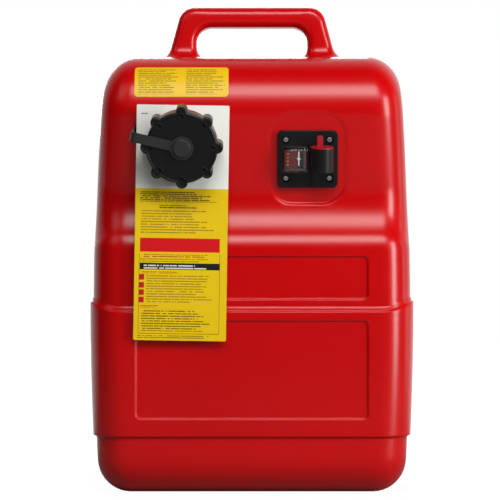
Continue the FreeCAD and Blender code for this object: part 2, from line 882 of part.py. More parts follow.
def alongFloat(shape):
    """Turns a shape modelled along Z so that it lies on the float's axis, from the arm's plane."""
    x, z = floatPlace()
    placed = shape.copy()
    placed.rotate(vec(0, 0, 0), vec(1, 0, 0), -90)
    placed.translate(vec(x, 0, z))
    return placed


def gaugeFloat():
    body = disc(floatRadius, armBend, armBend + floatLength)
    rims = [e for e in body.Edges if e.BoundBox.ZLength < 0.01]
    body = body.makeFillet(2.0, rims)
    return alongFloat(body.cut(disc(armWire + seatGap, 0, armBend + floatLength + 1)))


def floatClip():
    low = armBend + floatLength + seatGap
    return alongFloat(ring(floatClipRadius, armWire + seatGap, low, low + floatClipThickness))


def outletBarrel():
    """The outlet: a socket for the fuel line's plug above, a valve chamber below."""
    length = barrelTop - barrelBottom
    body = disc(barrelRadius, barrelBottom, barrelTop)
    body = body.cut(disc(socketRadius, barrelTop - socketDepth, barrelTop + 1))
    body = body.cut(disc(seatRadius, barrelBottom, barrelTop))
    body = body.cut(disc(chamberRadius, barrelBottom - 1, valveSeatLevel()))
    turned = alongBarrel(body)
    foot = Part.makeBox(
        4 * barrelRadius, 4 * length, plateTop(), vec(barrelX - 2 * barrelRadius, -2 * length, 0)
    )
    turned = turned.cut(foot)
    return turned.cut(disc(tubeBore, 0, plateTop() + barrelHeight, barrelX, tubeY()))


def tubeY():
    """How far along the barrel the pickup joins its chamber."""
    return barrelBottom + endPlugThickness + tubeRadius


def valveSeatLevel():
    return barrelTop - socketDepth - seatThickness


def barrelEndPlug():
    low = barrelBottom + seatGap
    return alongBarrel(disc(chamberRadius - seatGap, low, low + endPlugThickness))


def outletValve():
    """The disc that closes the seat from below, with the stem that the fuel line pushes."""
    top = valveSeatLevel() - seatGap
    head = disc(valveDisc, top - valveDiscThickness, top)
    return alongBarrel(fuse([head, disc(valveStem, top - valveDiscThickness, top + valveStemRise)]))


def valveSpring():
    low = barrelBottom + endPlugThickness + 2 * seatGap
    high = valveSeatLevel() - valveDiscThickness - 2 * seatGap
    return alongBarrel(coilSpring(low, high, "valve spring"))


def dustPlug():
    """The red plug: a hollow shank in the socket, a flange and a pull tab."""
    shank = disc(socketRadius - runningFit, barrelTop - plugShankLength, barrelTop + plugFlangeThickness)
    hollow = disc(socketRadius - plugShankWall, barrelTop - plugShankLength - 1, barrelTop)
    flange = disc(plugFlange, barrelTop + seatGap, barrelTop + seatGap + plugFlangeThickness)
    tab = Part.makeBox(
        plugTabWidth, plugTabThickness, plugTabHeight + plugFlangeThickness / 2,
        vec(plugTabX - barrelX - plugTabWidth / 2, -plugTabThickness / 2, barrelTop + plugFlangeThickness / 2),
    )
    top = [
        e for e in tab.Edges
        if abs(e.tangentAt(e.FirstParameter).y) > 0.9 and e.BoundBox.ZMin > barrelTop + plugTabHeight / 2
    ]
    tab = tab.makeFillet(plugTabWidth / 3, top)
    plug = alongBarrel(fuse([shank, flange, tab]).cut(hollow))
    under = Part.makeBox(
        4 * plugFlange, 4 * plateHeight, plateTop() + looseFit,
        vec(barrelX - 2 * plugFlange, -2 * plateHeight, 0),
    )
    return plug.cut(under)


def pickupEnd():
    """How far the strainer reaches below the seat."""
    inner = (bodyDepth - wall - seatDepth(gaugeZ)) / math.cos(tilt)
    drop = abs(tubeY()) * math.tan(tilt) + strainerRadius * math.tan(tilt)
    return -(inner - drop - strainerFloorGap - strainerRadius)


def pickupTube():
    low = pickupEnd() + strainerLength / 2
    return ring(tubeRadius, tubeBore, low, plateTop(), barrelX, tubeY())


def pickupStrainer():
    """A closed basket of slotted plastic on the end of the pickup tube."""
    low = pickupEnd()
    high = low + strainerLength
    x, y = barrelX, tubeY()
    basket = disc(strainerRadius, low, high, x, y)
    basket = basket.cut(disc(strainerRadius - plugShankWall, low + plugShankWall, high - 2 * plugShankWall, x, y))
    basket = basket.cut(disc(tubeRadius + seatGap, low + strainerLength / 2, high + 1, x, y))
    for i in range(3):
        slot = Part.makeBox(
            4 * strainerRadius, plugShankWall, strainerLength / 2,
            vec(-2 * strainerRadius, -plugShankWall / 2, low + 2 * plugShankWall),
        )
        slot.rotate(vec(0, 0, 0), vec(0, 0, 1), 60 * i)
        slot.translate(vec(x, y, 0))
        basket = basket.cut(slot)
    return basket


def frontPlane():
    """The front face's Y, which leaves the whole part centred on the origin."""
    cap = onSeat(capShell(), neckX, neckZ, 0)
    reach = -min(v.Point.y for v in cap.Vertexes)
    high = cap.optimalBoundingBox(False, False)
    reach = max(reach, -high.YMin)
    return (reach - bodyDepth) / 2


def main():
    front = frontPlane()
    pieces = {
        "tank_shell": tankShell(front),
        "hang_card": hangCard(front),
        "shoulder_sticker": shoulderSticker(front),
    }
    onNeck = {
        "cap_shell": capShell(),
        "cap_insert": capInsert(),
        "cap_gasket": capGasket(),
        "cap_button": capButton(),
        "vent_cage": ventCage(),
        "vent_poppet": ventPoppet(),
        "vent_spring": ventSpring(),
        "cap_tether": capTether(),
        "neck_ring": neckRing(),
    }
    onGauge = {
        "gauge_plate": gaugePlate(),
        "plate_gasket": gasketSheet(),
        "plate_screws": plateScrews(),
        "threaded_inserts": threadedInserts(),
        "gauge_lens": gaugeLens(),
        "pivot_pin": pivotPin(),
        "gauge_dial": gaugeDial(),
        "float_arm": floatArm(),
        "fuel_float": gaugeFloat(),
        "float_clip": floatClip(),
        "outlet_barrel": outletBarrel(),
        "barrel_end_plug": barrelEndPlug(),
        "outlet_valve": outletValve(),
        "valve_spring": valveSpring(),
        "dust_plug": dustPlug(),
        "pickup_tube": pickupTube(),
        "pickup_strainer": pickupStrainer(),
    }
    for name, shape in onNeck.items():
        pieces[name] = onSeat(shape, neckX, neckZ, front)
    for name, shape in onGauge.items():
        pieces[name] = onSeat(shape, gaugeX, gaugeZ, front, -spotDepth)

    os.makedirs("parts", exist_ok=True)
    for name, shape in pieces.items():
        print(name, "valid" if shape.isValid() else "NOT VALID", len(shape.Solids), round(shape.Volume, 1))
        shape.exportStep("parts/" + name + ".step")
    neck = onSeat(Part.Vertex(0, 0, 0), neckX, neckZ, front).Point
    gauge = onSeat(Part.Vertex(0, 0, 0), gaugeX, gaugeZ, front, -spotDepth).Point
    print("front face at", round(front, 3), "neck foot", neck, "gauge seat", gauge)
    print("card pivot height", round(cardPivotZ(), 3), "strainer end", round(pickupEnd(), 3))


main()
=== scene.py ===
import math

import bmesh
import bpy
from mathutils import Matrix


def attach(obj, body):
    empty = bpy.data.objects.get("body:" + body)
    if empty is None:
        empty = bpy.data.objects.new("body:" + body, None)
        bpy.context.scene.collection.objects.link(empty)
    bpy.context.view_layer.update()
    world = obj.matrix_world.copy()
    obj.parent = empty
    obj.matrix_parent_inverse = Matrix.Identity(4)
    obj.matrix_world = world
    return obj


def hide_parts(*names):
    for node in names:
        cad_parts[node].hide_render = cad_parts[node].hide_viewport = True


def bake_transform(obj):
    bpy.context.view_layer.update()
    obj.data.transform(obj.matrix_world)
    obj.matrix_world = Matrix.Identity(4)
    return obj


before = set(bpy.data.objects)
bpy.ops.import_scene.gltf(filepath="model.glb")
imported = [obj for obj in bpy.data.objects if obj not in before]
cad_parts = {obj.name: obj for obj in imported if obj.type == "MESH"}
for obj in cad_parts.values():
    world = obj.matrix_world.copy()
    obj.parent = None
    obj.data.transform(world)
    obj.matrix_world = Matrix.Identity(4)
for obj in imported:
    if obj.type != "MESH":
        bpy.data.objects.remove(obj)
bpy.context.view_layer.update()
print("frame loaded")

# Lengths are in millimetres, and turn to metres in the mesh. Neck and gauge stand on seats that lean.
mm = 0.001
tilt = math.radians(11.0)
seatUp = (0.0, -math.sin(tilt), math.cos(tilt))
seatOut = (0.0, -math.cos(tilt), -math.sin(tilt))
neckFoot = (-75.0, -59.467, 385.5)
gaugeSeat = (60.8, -54.93, 366.353)
white = (1.0, 1.0, 1.0, 1.0)


def linear(code):
    def channel(pair):
        value = int(pair, 16) / 255
        return value / 12.92 if value <= 0.04045 else ((value + 0.055) / 1.055) ** 2.4

    return (channel(code[0:2]), channel(code[2:4]), channel(code[4:6]), 1.0)


def metres(place):
    return tuple(c * mm for c in place)


def onSeat(foot, x, y, z):
    across = (x, 0.0, 0.0)
    return tuple(foot[i] + across[i] + seatUp[i] * y + seatOut[i] * z for i in range(3))


def addObject(name, data):
    thing = bpy.data.objects.new(name, data)
    bpy.context.scene.collection.objects.link(thing)
    return thing


def addRow(points, places):
    first = len(points)
    points.extend(places)
    return list(range(first, len(points)))


def gridFaces(rows, closed):
    faces = []
    for a, b in zip(rows, rows[1:]):
        count = len(a)
        for i in range(count if closed else count - 1):
            j = (i + 1) % count
            faces.append((a[i], a[j], b[j], b[i]))
    return faces


def outwardMesh(name, points, faces, smooth=True, merge=0.0):
    mesh = bpy.data.meshes.new(name)
    mesh.from_pydata([metres(p) for p in points], [], faces)
    work = bmesh.new()
    work.from_mesh(mesh)
    if merge:
        bmesh.ops.remove_doubles(work, verts=work.verts, dist=merge * mm)
    bmesh.ops.recalc_face_normals(work, faces=work.faces)
    for face in work.faces:
        face.smooth = smooth
    work.to_mesh(mesh)
    work.free()
    return mesh


def makePiece(name, points, faces, body, nodes=(), smooth=True, merge=0.0):
    piece = addObject(name, outwardMesh(name, points, faces, smooth, merge))
    if body:
        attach(piece, body)
    if nodes:
        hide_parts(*nodes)
    return piece


def paint(node, material):
    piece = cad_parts[node] if isinstance(node, str) else node
    piece.data.materials.clear()
    piece.data.materials.append(material)


# A node given as a value stands for its first output in use
def connect(tree, value, socket):
    if isinstance(value, bpy.types.Node):
        value = next(output for output in value.outputs if output.enabled)
    if isinstance(value, bpy.types.NodeSocket):
        tree.links.new(value, socket)
    else:
        socket.default_value = value


# Inputs are a dictionary by name or number, or a tuple in the node's order
def addNode(tree, kind, inputs=(), **settings):
    node = tree.nodes.new(kind)
    for key, value in settings.items():
        setattr(node, key, value)
    for key, value in inputs.items() if isinstance(inputs, dict) else enumerate(inputs):
        connect(tree, value, node.inputs[key])
    return node


def feedSurface(material, name, value):
    tree = material.node_tree
    connect(tree, value, tree.nodes["Principled BSDF"].inputs[name])


# Grain is the size and the depth of a fine bump
def newMaterial(name, colour, roughness, grain=None, stretch=(1.0, 1.0, 1.0), **inputs):
    material = bpy.data.materials.new(name)
    material.use_nodes = True
    tree = material.node_tree
    feedSurface(material, "Base Color", linear(colour))
    feedSurface(material, "Roughness", roughness)
    for key, value in inputs.items():
        feedSurface(material, key.replace("_", " "), value)
    if grain:
        size, depth = grain
        place = addNode(tree, "ShaderNodeTexCoord").outputs["Object"]
        mapped = addNode(tree, "ShaderNodeMapping", {"Vector": place, "Scale": stretch})
        noise = addNode(
            tree, "ShaderNodeTexNoise", {"Vector": mapped, "Scale": 1 / (size * mm), "Detail": 2.0}
        )
        bump = addNode(
            tree, "ShaderNodeBump", {"Height": noise, "Distance": depth * mm, "Strength": 1.0}
        )
        feedSurface(material, "Normal", bump)
    return material


# Blow-moulded polyethylene: deep even red, waxy, with a faint orange peel and a slightly uneven gloss
redPlastic = newMaterial(
    "blowMouldedPolyethylene", "BE040A", 0.25, (2.6, 0.012), Specular_IOR_Level=0.37
)
redForm = {"darker": "B80104", "lighter": "C40408", "cloudScale": 9.0, "smoothest": 0.21, "spread": 0.06}
redTree = redPlastic.node_tree
cloud = addNode(redTree, "ShaderNodeTexNoise", {
    "Vector": addNode(redTree, "ShaderNodeTexCoord").outputs["Object"],
    "Scale": redForm["cloudScale"],
    "Detail": 3.0,
})
# A Mix node set to colour takes its factor at 0 and its colours at 6 and 7
cloudColour = addNode(
    redTree, "ShaderNodeMix", {0: cloud, 6: linear(redForm["darker"]), 7: linear(redForm["lighter"])},
    data_type="RGBA",
)
cloudGloss = addNode(
    redTree, "ShaderNodeMath", (cloud, redForm["spread"], redForm["smoothest"]), operation="MULTIPLY_ADD"
)
feedSurface(redPlastic, "Base Color", cloudColour)
feedSurface(redPlastic, "Roughness", cloudGloss)
# Injection-moulded black polypropylene: near black, satin, with a fine spark-eroded grain
blackPlastic = newMaterial(
    "mouldedPolypropylene", "0C0C0D", 0.34, (1.2, 0.010), Specular_IOR_Level=0.35
)
# Soft low-density polyethylene of the tether: greyer and duller than the cap
strapPlastic = newMaterial("softTetherPlastic", "2A2A29", 0.42, (1.4, 0.012), Specular_IOR_Level=0.40)
# Moulded nitrile rubber: dull black
rubber = newMaterial("nitrileRubber", "101010", 0.62, (1.0, 0.010))
# Drawn stainless wire and pins: bright, with fine lines along the length
steel = newMaterial("drawnStainless", "B9BABC", 0.24, (0.6, 0.003), (1.0, 1.0, 0.2), Metallic=1.0)
# Zinc-plated screws: bright, with a cool tint, so that the cross recess glints in its dark hole
zinc = newMaterial("zincPlatedSteel", "C4C6CC", 0.20, (0.5, 0.003), Metallic=1.0)
# Turned brass: warm and bright with faint turning marks
brass = newMaterial("turnedBrass", "B8924A", 0.30, (0.5, 0.003), (1.0, 0.2, 1.0), Metallic=1.0)
# Closed-cell nitrile foam of the float: dull, dark and finely pitted
foam = newMaterial("closedCellFoam", "2B2B2D", 0.75, (0.9, 0.06))
# Natural acetal of the pickup: milky white and smooth
tube = newMaterial("naturalAcetal", "D8D6CB", 0.40, (1.5, 0.006))
# Soft vinyl of the dust plug: clear dark red with a low sheen
plugRed = newMaterial("softVinylPlug", "A30E20", 0.38, (1.4, 0.012))
# Clear polycarbonate lens: water-clear with a little waviness from the mould
clear = newMaterial(
    "clearPolycarbonate", "F4F4F2", 0.04, (6.0, 0.004),
    Transmission_Weight=1.0, IOR=1.36, Specular_IOR_Level=0.12,
)
print("plain materials ready")

# Tank body: rings of points from the bottom to the top, each once round the tank.
# Front and back are lines of straights and arcs, and depth is counted from the front of the base.
form = {
    "front": -66.401,
    "depth": 188.0,
    "top": 481.0,
    "edge": 34.0,
    "end": 40.0,
    "backTop": 45.0,
    "shoulder": 60.0,
    "sidePoints": ((169.5, 30.0), (174.0, 250.0), (163.5, 455.0)),
    "rampStart": 265.0,
    "rampAngle": 34.0,
    "crest": 36.0,
    "foot": 68.0,
    "beltProud": 3.5,
    "beltBottom": 62.8,
    "beltBottomSoft": 2.4,
    "beltTop": 200.0,
    "beltLevel": 140.0,
    "beltCurve": 60.6,
    "beltReach": 37.5,
    "beltSteps": ((0.70, 0.0), (0.30, 3.9)),
    "stepSoft": 1.8,
    "panelDepth": 2.2,
    "panelHalf": 126.0,
    "panels": ((136.0, 53.0), (236.0, 23.0)),
    "panelCorner": 5.0,
    "spotDepth": 0.8,
    "spotHalf": (42.0, 50.0),
    "spotCorner": 26.0,
    "spotSoft": 2.2,
    "grooveDepth": 3.0,
    "grooveAt": 75.0,
    "grooveMiddle": 240.5,
    "grooveHalf": (17.0, 150.0),
    "grooveCorner": 16.2,
    "grooveSoft": 2.6,
}
ramp = math.radians(form["rampAngle"])
footStartDepth = form["crest"] * (1 - math.cos(ramp))
footStartZ = form["rampStart"] + form["crest"] * math.sin(ramp)
footDepth = footStartDepth - form["foot"] * math.cos(ramp)
footZ = footStartZ + form["foot"] * math.sin(ramp)
seatStartDepth = footDepth + form["foot"] * math.cos(tilt)
seatStartZ = footZ + form["foot"] * math.sin(tilt)
shoulderZ = form["top"] - form["shoulder"]
seatEndZ = shoulderZ - form["shoulder"] * math.sin(tilt)
seatEndDepth = seatStartDepth - (seatEndZ - seatStartZ) * math.tan(tilt)
shoulderDepth = seatEndDepth + form["shoulder"] * math.cos(tilt)


# Half the width, on the arc through three points
def sideHalf(z):
    (x1, z1), (x2, z2), (x3, z3) = form["sidePoints"]
    d = 2 * (x1 * (z2 - z3) + x2 * (z3 - z1) + x3 * (z1 - z2))
    a, b, c = x1 * x1 + z1 * z1, x2 * x2 + z2 * z2, x3 * x3 + z3 * z3
    cx = (a * (z2 - z3) + b * (z3 - z1) + c * (z1 - z2)) / d
    cz = (a * (x3 - x2) + b * (x1 - x3) + c * (x2 - x1)) / d
    radius = math.hypot(x1 - cx, z1 - cz)
    return cx + math.sqrt(radius * radius - (z - cz) ** 2)


def besideArc(up):
    return math.sqrt(max(0.0, 1 - up * up))


# Depth of the front and the outward direction there
def frontAt(z):
    end, crest, foot, shoulder = form["end"], form["crest"], form["foot"], form["shoulder"]
    if z < end:
        up = (end - z) / end
        return end - end * besideArc(up), (-besideArc(up), -up)
    if z < form["rampStart"]:
        return 0.0, (-1.0, 0.0)
    if z < footStartZ:
        up = (z - form["rampStart"]) / crest
        return crest * (1 - besideArc(up)), (-besideArc(up), up)
    if z < seatStartZ:
        up = (z - footZ) / foot
        return footDepth + foot * besideArc(up), (-besideArc(up), -up)
    if z < seatEndZ:
        return seatStartDepth - (z - seatStartZ) * math.tan(tilt), (-math.cos(tilt), -math.sin(tilt))
    up = min(1.0, (z - shoulderZ) / shoulder)
    return shoulderDepth - shoulder * besideArc(up), (-besideArc(up), up)


def backAt(z):
    end, backTop, depth = form["end"], form["backTop"], form["depth"]
    if z < end:
        up = (end - z) / end
        return depth - end + end * besideArc(up), (besideArc(up), -up)
    if z < form["top"] - backTop:
        return depth, (1.0, 0.0)
    up = min(1.0, (z - form["top"] + backTop) / backTop)
    return depth - backTop + backTop * besideArc(up), (besideArc(up), up)


# Smooth step from 0 to 1, of this width, about the value 0
def ease(value, width):
    t = min(1.0, max(0.0, value / width + 0.5))
    return t * t * (3 - 2 * t)


def boxDistance(x, y, half, corner):
    qx, qy = abs(x) - half[0] + corner, abs(y) - half[1] + corner
    return math.hypot(max(qx, 0.0), max(qy, 0.0)) + min(max(qx, qy), 0.0) - corner


def beltTopAt(x):
    beyond = min(form["beltReach"], max(0.0, abs(x) - form["beltLevel"]))
    return form["beltTop"] + form["beltCurve"] - math.sqrt(form["beltCurve"] ** 2 - beyond ** 2)


# How far the belt stands out, less the depth of panels, gauge seat and grooves
def raised(x, depth, z, zone, turn):
    belt = form["beltProud"] * ease(z - form["beltBottom"], form["beltBottomSoft"])
    belt *= 1 - sum(
        share * ease(z - beltTopAt(x) - above, form["stepSoft"]) for share, above in form["beltSteps"]
    )
    if zone == "back":
        belt = 0.0
    if zone == "backCorner":  # the belt runs out into the flat back
        belt = min(belt, form["edge"] * (1 - math.cos(turn)) / max(math.cos(turn), 0.05))
    total = belt
    if zone == "front":
        for middle, half in form["panels"]:
            away = boxDistance(x, z - middle, (form["panelHalf"], half), form["panelCorner"])
            total -= form["panelDepth"] * ease(-away, form["stepSoft"])
        height = -(depth - seatStartDepth) * math.cos(tilt) - (z - seatStartZ) * math.sin(tilt)
        along = (z - gaugeSeat[2]) / math.cos(tilt)
        away = boxDistance(x - gaugeSeat[0], along, form["spotHalf"], form["spotCorner"])
        total -= ease(-away, form["spotSoft"]) * max(0.0, height + form["spotDepth"])
    if zone == "back":
        above = z - form["grooveMiddle"]
        for side in (-form["grooveAt"], form["grooveAt"]):
            away = boxDistance(x - side, above, form["grooveHalf"], form["grooveCorner"])
            total -= form["grooveDepth"] * ease(-away, form["grooveSoft"])
    return total


# The mesh is finer where its outline bends: each zone is low end, high end and step
meshForm = {
    "step": 4.2,
    "endRows": 13,
    "shoulderFrom": 416.0,
    "shoulderRows": 20,
    "columnsHalf": 132.0,
    "columnsFitIn": 136.0,
    "cornerSteps": 10,
    "sideSteps": 14,
    "rowZones": [
        (60.5, 66.0, 0.7), (81.5, 85.0, 0.7), (85.0, 90.0, 1.6), (90.0, 108.0, 2.4),
        (182.0, 187.0, 1.6), (187.0, 191.0, 0.7), (197.5, 218.0, 0.8), (218.0, 220.0, 1.4),
        (252.0, 257.0, 1.6), (257.0, 261.0, 0.7), (261.0, 312.0, 1.8), (312.0, 346.0, 1.5),
        (373.0, 388.0, 2.4), (388.0, 416.0, 1.7),
    ],
    "columnZones": [
        (-132.0, -129.0, 2.0), (-129.0, -123.0, 0.8), (-123.0, -118.0, 1.8), (-95.0, -89.0, 1.3),
        (-61.0, -55.0, 1.3), (16.0, 48.0, 1.9), (55.0, 61.0, 1.3), (74.0, 106.0, 1.9),
        (89.0, 95.0, 1.3), (118.0, 123.0, 1.8), (123.0, 129.0, 0.8), (129.0, 132.0, 2.0),
    ],
}


def spread(zones, low, high):
    values, place = [low], low
    while place < high - 1e-6:
        step = min([s for start, end, s in zones if start <= place < end] or [meshForm["step"]])
        ahead = [start for start, end, s in zones if place < start < place + step]
        place = min([place + step, high] + ahead)
        values.append(place)
    return values


endRows, shoulderRows = meshForm["endRows"], meshForm["shoulderRows"]
rowHeights = [form["end"] * (1 - math.cos(math.pi / 2 * i / endRows)) for i in range(endRows)]
rowHeights += spread(meshForm["rowZones"], form["end"], meshForm["shoulderFrom"])
startAngle = math.asin((meshForm["shoulderFrom"] - shoulderZ) / form["shoulder"])
for i in range(1, shoulderRows + 1):
    angle = startAngle + (math.pi / 2 - startAngle) * i / shoulderRows
    rowHeights.append(shoulderZ + form["shoulder"] * math.sin(angle))
columns = spread(meshForm["columnZones"], -meshForm["columnsHalf"], meshForm["columnsHalf"])
cornerSteps, sideSteps = meshForm["cornerSteps"], meshForm["sideSteps"]
points = []


def put(x, depth, z, normal, zone, turn=0.0):
    lift = raised(x, depth, z, zone, turn)
    points.append((
        x + normal[0] * lift, form["front"] + depth + normal[1] * lift, z + normal[2] * lift,
    ))
    return len(points) - 1


def acrossLine(depth, z, out, zone):
    half = sideHalf(z) - form["edge"]
    scale = min(1.0, half / meshForm["columnsFitIn"])
    places = [-half] + [c * scale for c in columns] + [half]
    return [put(x, depth, z, (0.0, *out), zone) for x in places]


def cornerPoint(depth, z, out, hand, k, zone):
    turn = math.pi / 2 * k / cornerSteps
    inward = form["edge"] * (1 - math.cos(turn))
    height = z - out[1] * inward
    x = hand * (sideHalf(height) - form["edge"] * (1 - math.sin(turn)))
    normal = (hand * math.sin(turn), out[0] * math.cos(turn), out[1] * math.cos(turn))
    return put(x, depth - out[0] * inward, height, normal, zone + "Corner", turn)


def sideLine(z, hand):
    (frontDepth, frontOut), (backDepth, backOut) = frontAt(z), backAt(z)
    edge = form["edge"]
    start = (frontDepth - frontOut[0] * edge, z - frontOut[1] * edge)
    end = (backDepth - backOut[0] * edge, z - backOut[1] * edge)
    made = []
    for m in range(1, sideSteps):
        depth, height = [s + (e - s) * m / sideSteps for s, e in zip(start, end)]
        made.append(put(hand * sideHalf(height), depth, height, (hand, 0.0, 0.0), "side"))
    return made


rings = []
for z in rowHeights:
    (frontDepth, frontOut), (backDepth, backOut) = frontAt(z), backAt(z)
    ring = {
        "front": acrossLine(frontDepth, z, frontOut, "front"),
        "back": acrossLine(backDepth, z, backOut, "back"),
    }
    for hand, side in ((1, "right"), (-1, "left")):
        turns = range(1, cornerSteps + 1)
        ring[side + "Front"] = [cornerPoint(frontDepth, z, frontOut, hand, k, "front") for k in turns]
        ring[side + "Back"] = [cornerPoint(backDepth, z, backOut, hand, k, "back") for k in turns]
        ring[side] = sideLine(z, hand)
    rings.append(ring)


def wholeRing(ring):
    return (
        ring["front"] + ring["rightFront"] + ring["right"] + ring["rightBack"][::-1] + ring["back"][::-1]
        + ring["leftBack"] + ring["left"][::-1] + ring["leftFront"][::-1]
    )


faces = gridFaces([wholeRing(r) for r in rings], closed=True)
for ring, z, up in ((rings[0], rowHeights[0], -1.0), (rings[-1], form["top"], 1.0)):
    frontDepth, backDepth, upright = frontAt(z)[0], backAt(z)[0], (0.0, up)
    lines = [ring["leftFront"][::-1] + ring["front"] + ring["rightFront"]]
    for m in range(1, sideSteps):
        depth = frontDepth + (backDepth - frontDepth) * m / sideSteps
        left = [cornerPoint(depth, z, upright, -1, k, "front") for k in range(1, cornerSteps)]
        right = [cornerPoint(depth, z, upright, 1, k, "front") for k in range(1, cornerSteps)]
        middle = acrossLine(depth, z, upright, "flat")
        lines.append([ring["left"][m - 1]] + left[::-1] + middle + right + [ring["right"][m - 1]])
    lines.append(ring["leftBack"][::-1] + ring["back"] + ring["rightBack"])
    faces += gridFaces(lines, closed=False)
tankBody = makePiece("tankBody", points, faces, "tank", ["tank_shell"])
paint(tankBody, redPlastic)
print("tank body", len(faces), "faces")

# Handle: sections from the right foot over the top to the left foot
handleForm = {
    "footHalf": 95.0,
    "topHalf": 79.0,
    "top": 540.0,
    "bar": 22.5,
    "gripHalf": 62.0,
    "gripCorner": 17.0,
    "outerCorner": 18.0,
    "halfDepth": 17.0,
    "edge": 9.5,
    "leastFlat": 0.3,
    "flare": 14.0,
    "sunk": 1.0,
    "legAt": 497.5,
    "barAt": (30.0, 15.0, 0.0),
    "flareSteps": 8,
    "archSteps": 12,
    "cornerSteps": 7,
    "reachSteps": 4000,
    "near": 0.002,
}
handleTop, gripHalf, flare = handleForm["top"], handleForm["gripHalf"], handleForm["flare"]
legRun, legRise = handleForm["footHalf"] - handleForm["topHalf"], handleTop - form["top"]


def legOuter(z):
    return handleForm["footHalf"] - (z - form["top"]) * legRun / legRise


# Walks out from the arch's centre until it meets the outer outline
def outerAlong(cx, cz, angle):
    length = math.hypot(legRun, legRise)
    nx, nz = legRise / length, legRun / length
    corner, near = handleForm["outerCorner"], handleForm["near"]
    roundZ = handleTop - corner
    roundX = handleForm["topHalf"] + (-corner - (roundZ - handleTop) * nz) / nx
    dx, dz = math.cos(angle), math.sin(angle)
    reach = 0.0
    for _ in range(handleForm["reachSteps"]):
        x, z = cx + dx * reach, cz + dz * reach
        outside = max((x - handleForm["topHalf"]) * nx + (z - handleTop) * nz, z - handleTop)
        if x > roundX and (x - roundX) * nz < (z - roundZ) * nx + 1e-9:
            outside = math.hypot(x - roundX, z - roundZ) - corner
        if outside > -near:
            break
        reach += max(near, -outside * 0.5)
    return cx + dx * reach, cz + dz * reach


# Each stop is the inner point, the outer point and how much the foot flares there
sunkZ = form["top"] - handleForm["sunk"]
halfPath = [((gripHalf - flare, sunkZ), (handleForm["footHalf"] + flare, sunkZ), flare)]
for i in range(handleForm["flareSteps"] + 1):
    a = math.pi / 2 * i / handleForm["flareSteps"]
    wider, z = flare - flare * math.sin(a), form["top"] + flare - flare * math.cos(a)
    halfPath.append(((gripHalf - wider, z), (legOuter(z) + wider, z), wider))
archX = gripHalf - handleForm["gripCorner"]
archZ = handleTop - handleForm["bar"] - handleForm["gripCorner"]
for z in (handleForm["legAt"], archZ):
    halfPath.append(((gripHalf, z), (legOuter(z), z), 0.0))
for i in range(1, handleForm["archSteps"] + 1):
    a = math.pi / 2 * i / handleForm["archSteps"]
    inner = (
        archX + handleForm["gripCorner"] * math.cos(a), archZ + handleForm["gripCorner"] * math.sin(a),
    )
    halfPath.append((inner, outerAlong(archX, archZ, a), 0.0))
for x in handleForm["barAt"]:
    halfPath.append(((x, handleTop - handleForm["bar"]), (x, handleTop), 0.0))
mirrored = [((-inner[0], inner[1]), (-outer[0], outer[1]), wider) for inner, outer, wider in halfPath[:-1]]
handleY = form["front"] + (shoulderDepth + form["depth"] - form["backTop"]) / 2
handlePoints, handleRows = [], []
for inner, outer, wider in halfPath + mirrored[::-1]:
    middle = ((inner[0] + outer[0]) / 2, (inner[1] + outer[1]) / 2)
    span = math.hypot(outer[0] - inner[0], outer[1] - inner[1])
    along = ((outer[0] - inner[0]) / span, (outer[1] - inner[1]) / span)
    halfA, halfB = span / 2, handleForm["halfDepth"] + wider
    corner = min(handleForm["edge"] + wider, halfA - handleForm["leastFlat"])
    section = []
    for quarter, (sa, sb) in enumerate(((1, 1), (-1, 1), (-1, -1), (1, -1))):
        for k in range(handleForm["cornerSteps"] + 1):
            a = math.pi / 2 * (quarter + k / handleForm["cornerSteps"])
            p = sa * (halfA - corner) + corner * math.cos(a)
            q = sb * (halfB - corner) + corner * math.sin(a)
            section.append((middle[0] + along[0] * p, handleY + q, middle[1] + along[1] * p))
    handleRows.append(addRow(handlePoints, section))
handleFaces = gridFaces(handleRows, closed=True) + [tuple(handleRows[0]), tuple(handleRows[-1])]
handlePiece = makePiece(
    "carryingHandle", handlePoints, handleFaces, "tank", merge=0.01
)
paint(handlePiece, redPlastic)
print("handle made")

# Neck with its screw thread. Profiles are radius and height, outside up and inside down.
neckForm = {
    "collar": [
        (37.0, -2.0), (37.0, 2.6), (36.6, 3.0), (33.0, 3.0), (33.0, 26.6), (32.6, 27.0), (28.9, 27.0),
    ],
    "mouth": [(28.6, 46.0), (26.5, 46.0), (26.5, 20.0), (26.5, -2.0)],
    "threadFrom": 27.0,
    "threadTo": 45.4,
    "rowStep": 0.5,
    "threadRows": 36,
    "fade": 1.5,
    "pitch": 6.0,
    "crest": 30.15,
    "root": 28.9,
    "flank": 3.6,
    "flatCrest": 1.5,
    "turnSteps": 96,
}


def threadRadius(height, share):
    phase = (height / neckForm["pitch"] - share) % 1.0
    ridge = max(0.0, 1 - abs(phase - 0.5) * neckForm["flank"])
    fadeOut = min(1.0, max(0.0, (neckForm["threadTo"] - height) / neckForm["fade"]))
    fadeIn = min(1.0, (height - neckForm["threadFrom"]) / neckForm["fade"])
    proud = min(1.0, ridge * neckForm["flatCrest"]) * fadeOut * fadeIn
    return neckForm["root"] + (neckForm["crest"] - neckForm["root"]) * proud


threadHeights = [
    neckForm["threadFrom"] + neckForm["rowStep"] * i for i in range(1, neckForm["threadRows"] + 1)
]
profile = neckForm["collar"] + [(None, height) for height in threadHeights] + neckForm["mouth"]
neckPoints, neckRows = [], []
for radius, height in profile:
    places = []
    for i in range(neckForm["turnSteps"]):
        share = i / neckForm["turnSteps"]
        a, r = 2 * math.pi * share, radius or threadRadius(height, share)
        places.append(onSeat(neckFoot, r * math.cos(a), r * math.sin(a), height))
    neckRows.append(addRow(neckPoints, places))
neckPiece = makePiece(
    "threadedNeck", neckPoints, gridFaces(neckRows, closed=True), "tank"
)
paint(neckPiece, redPlastic)

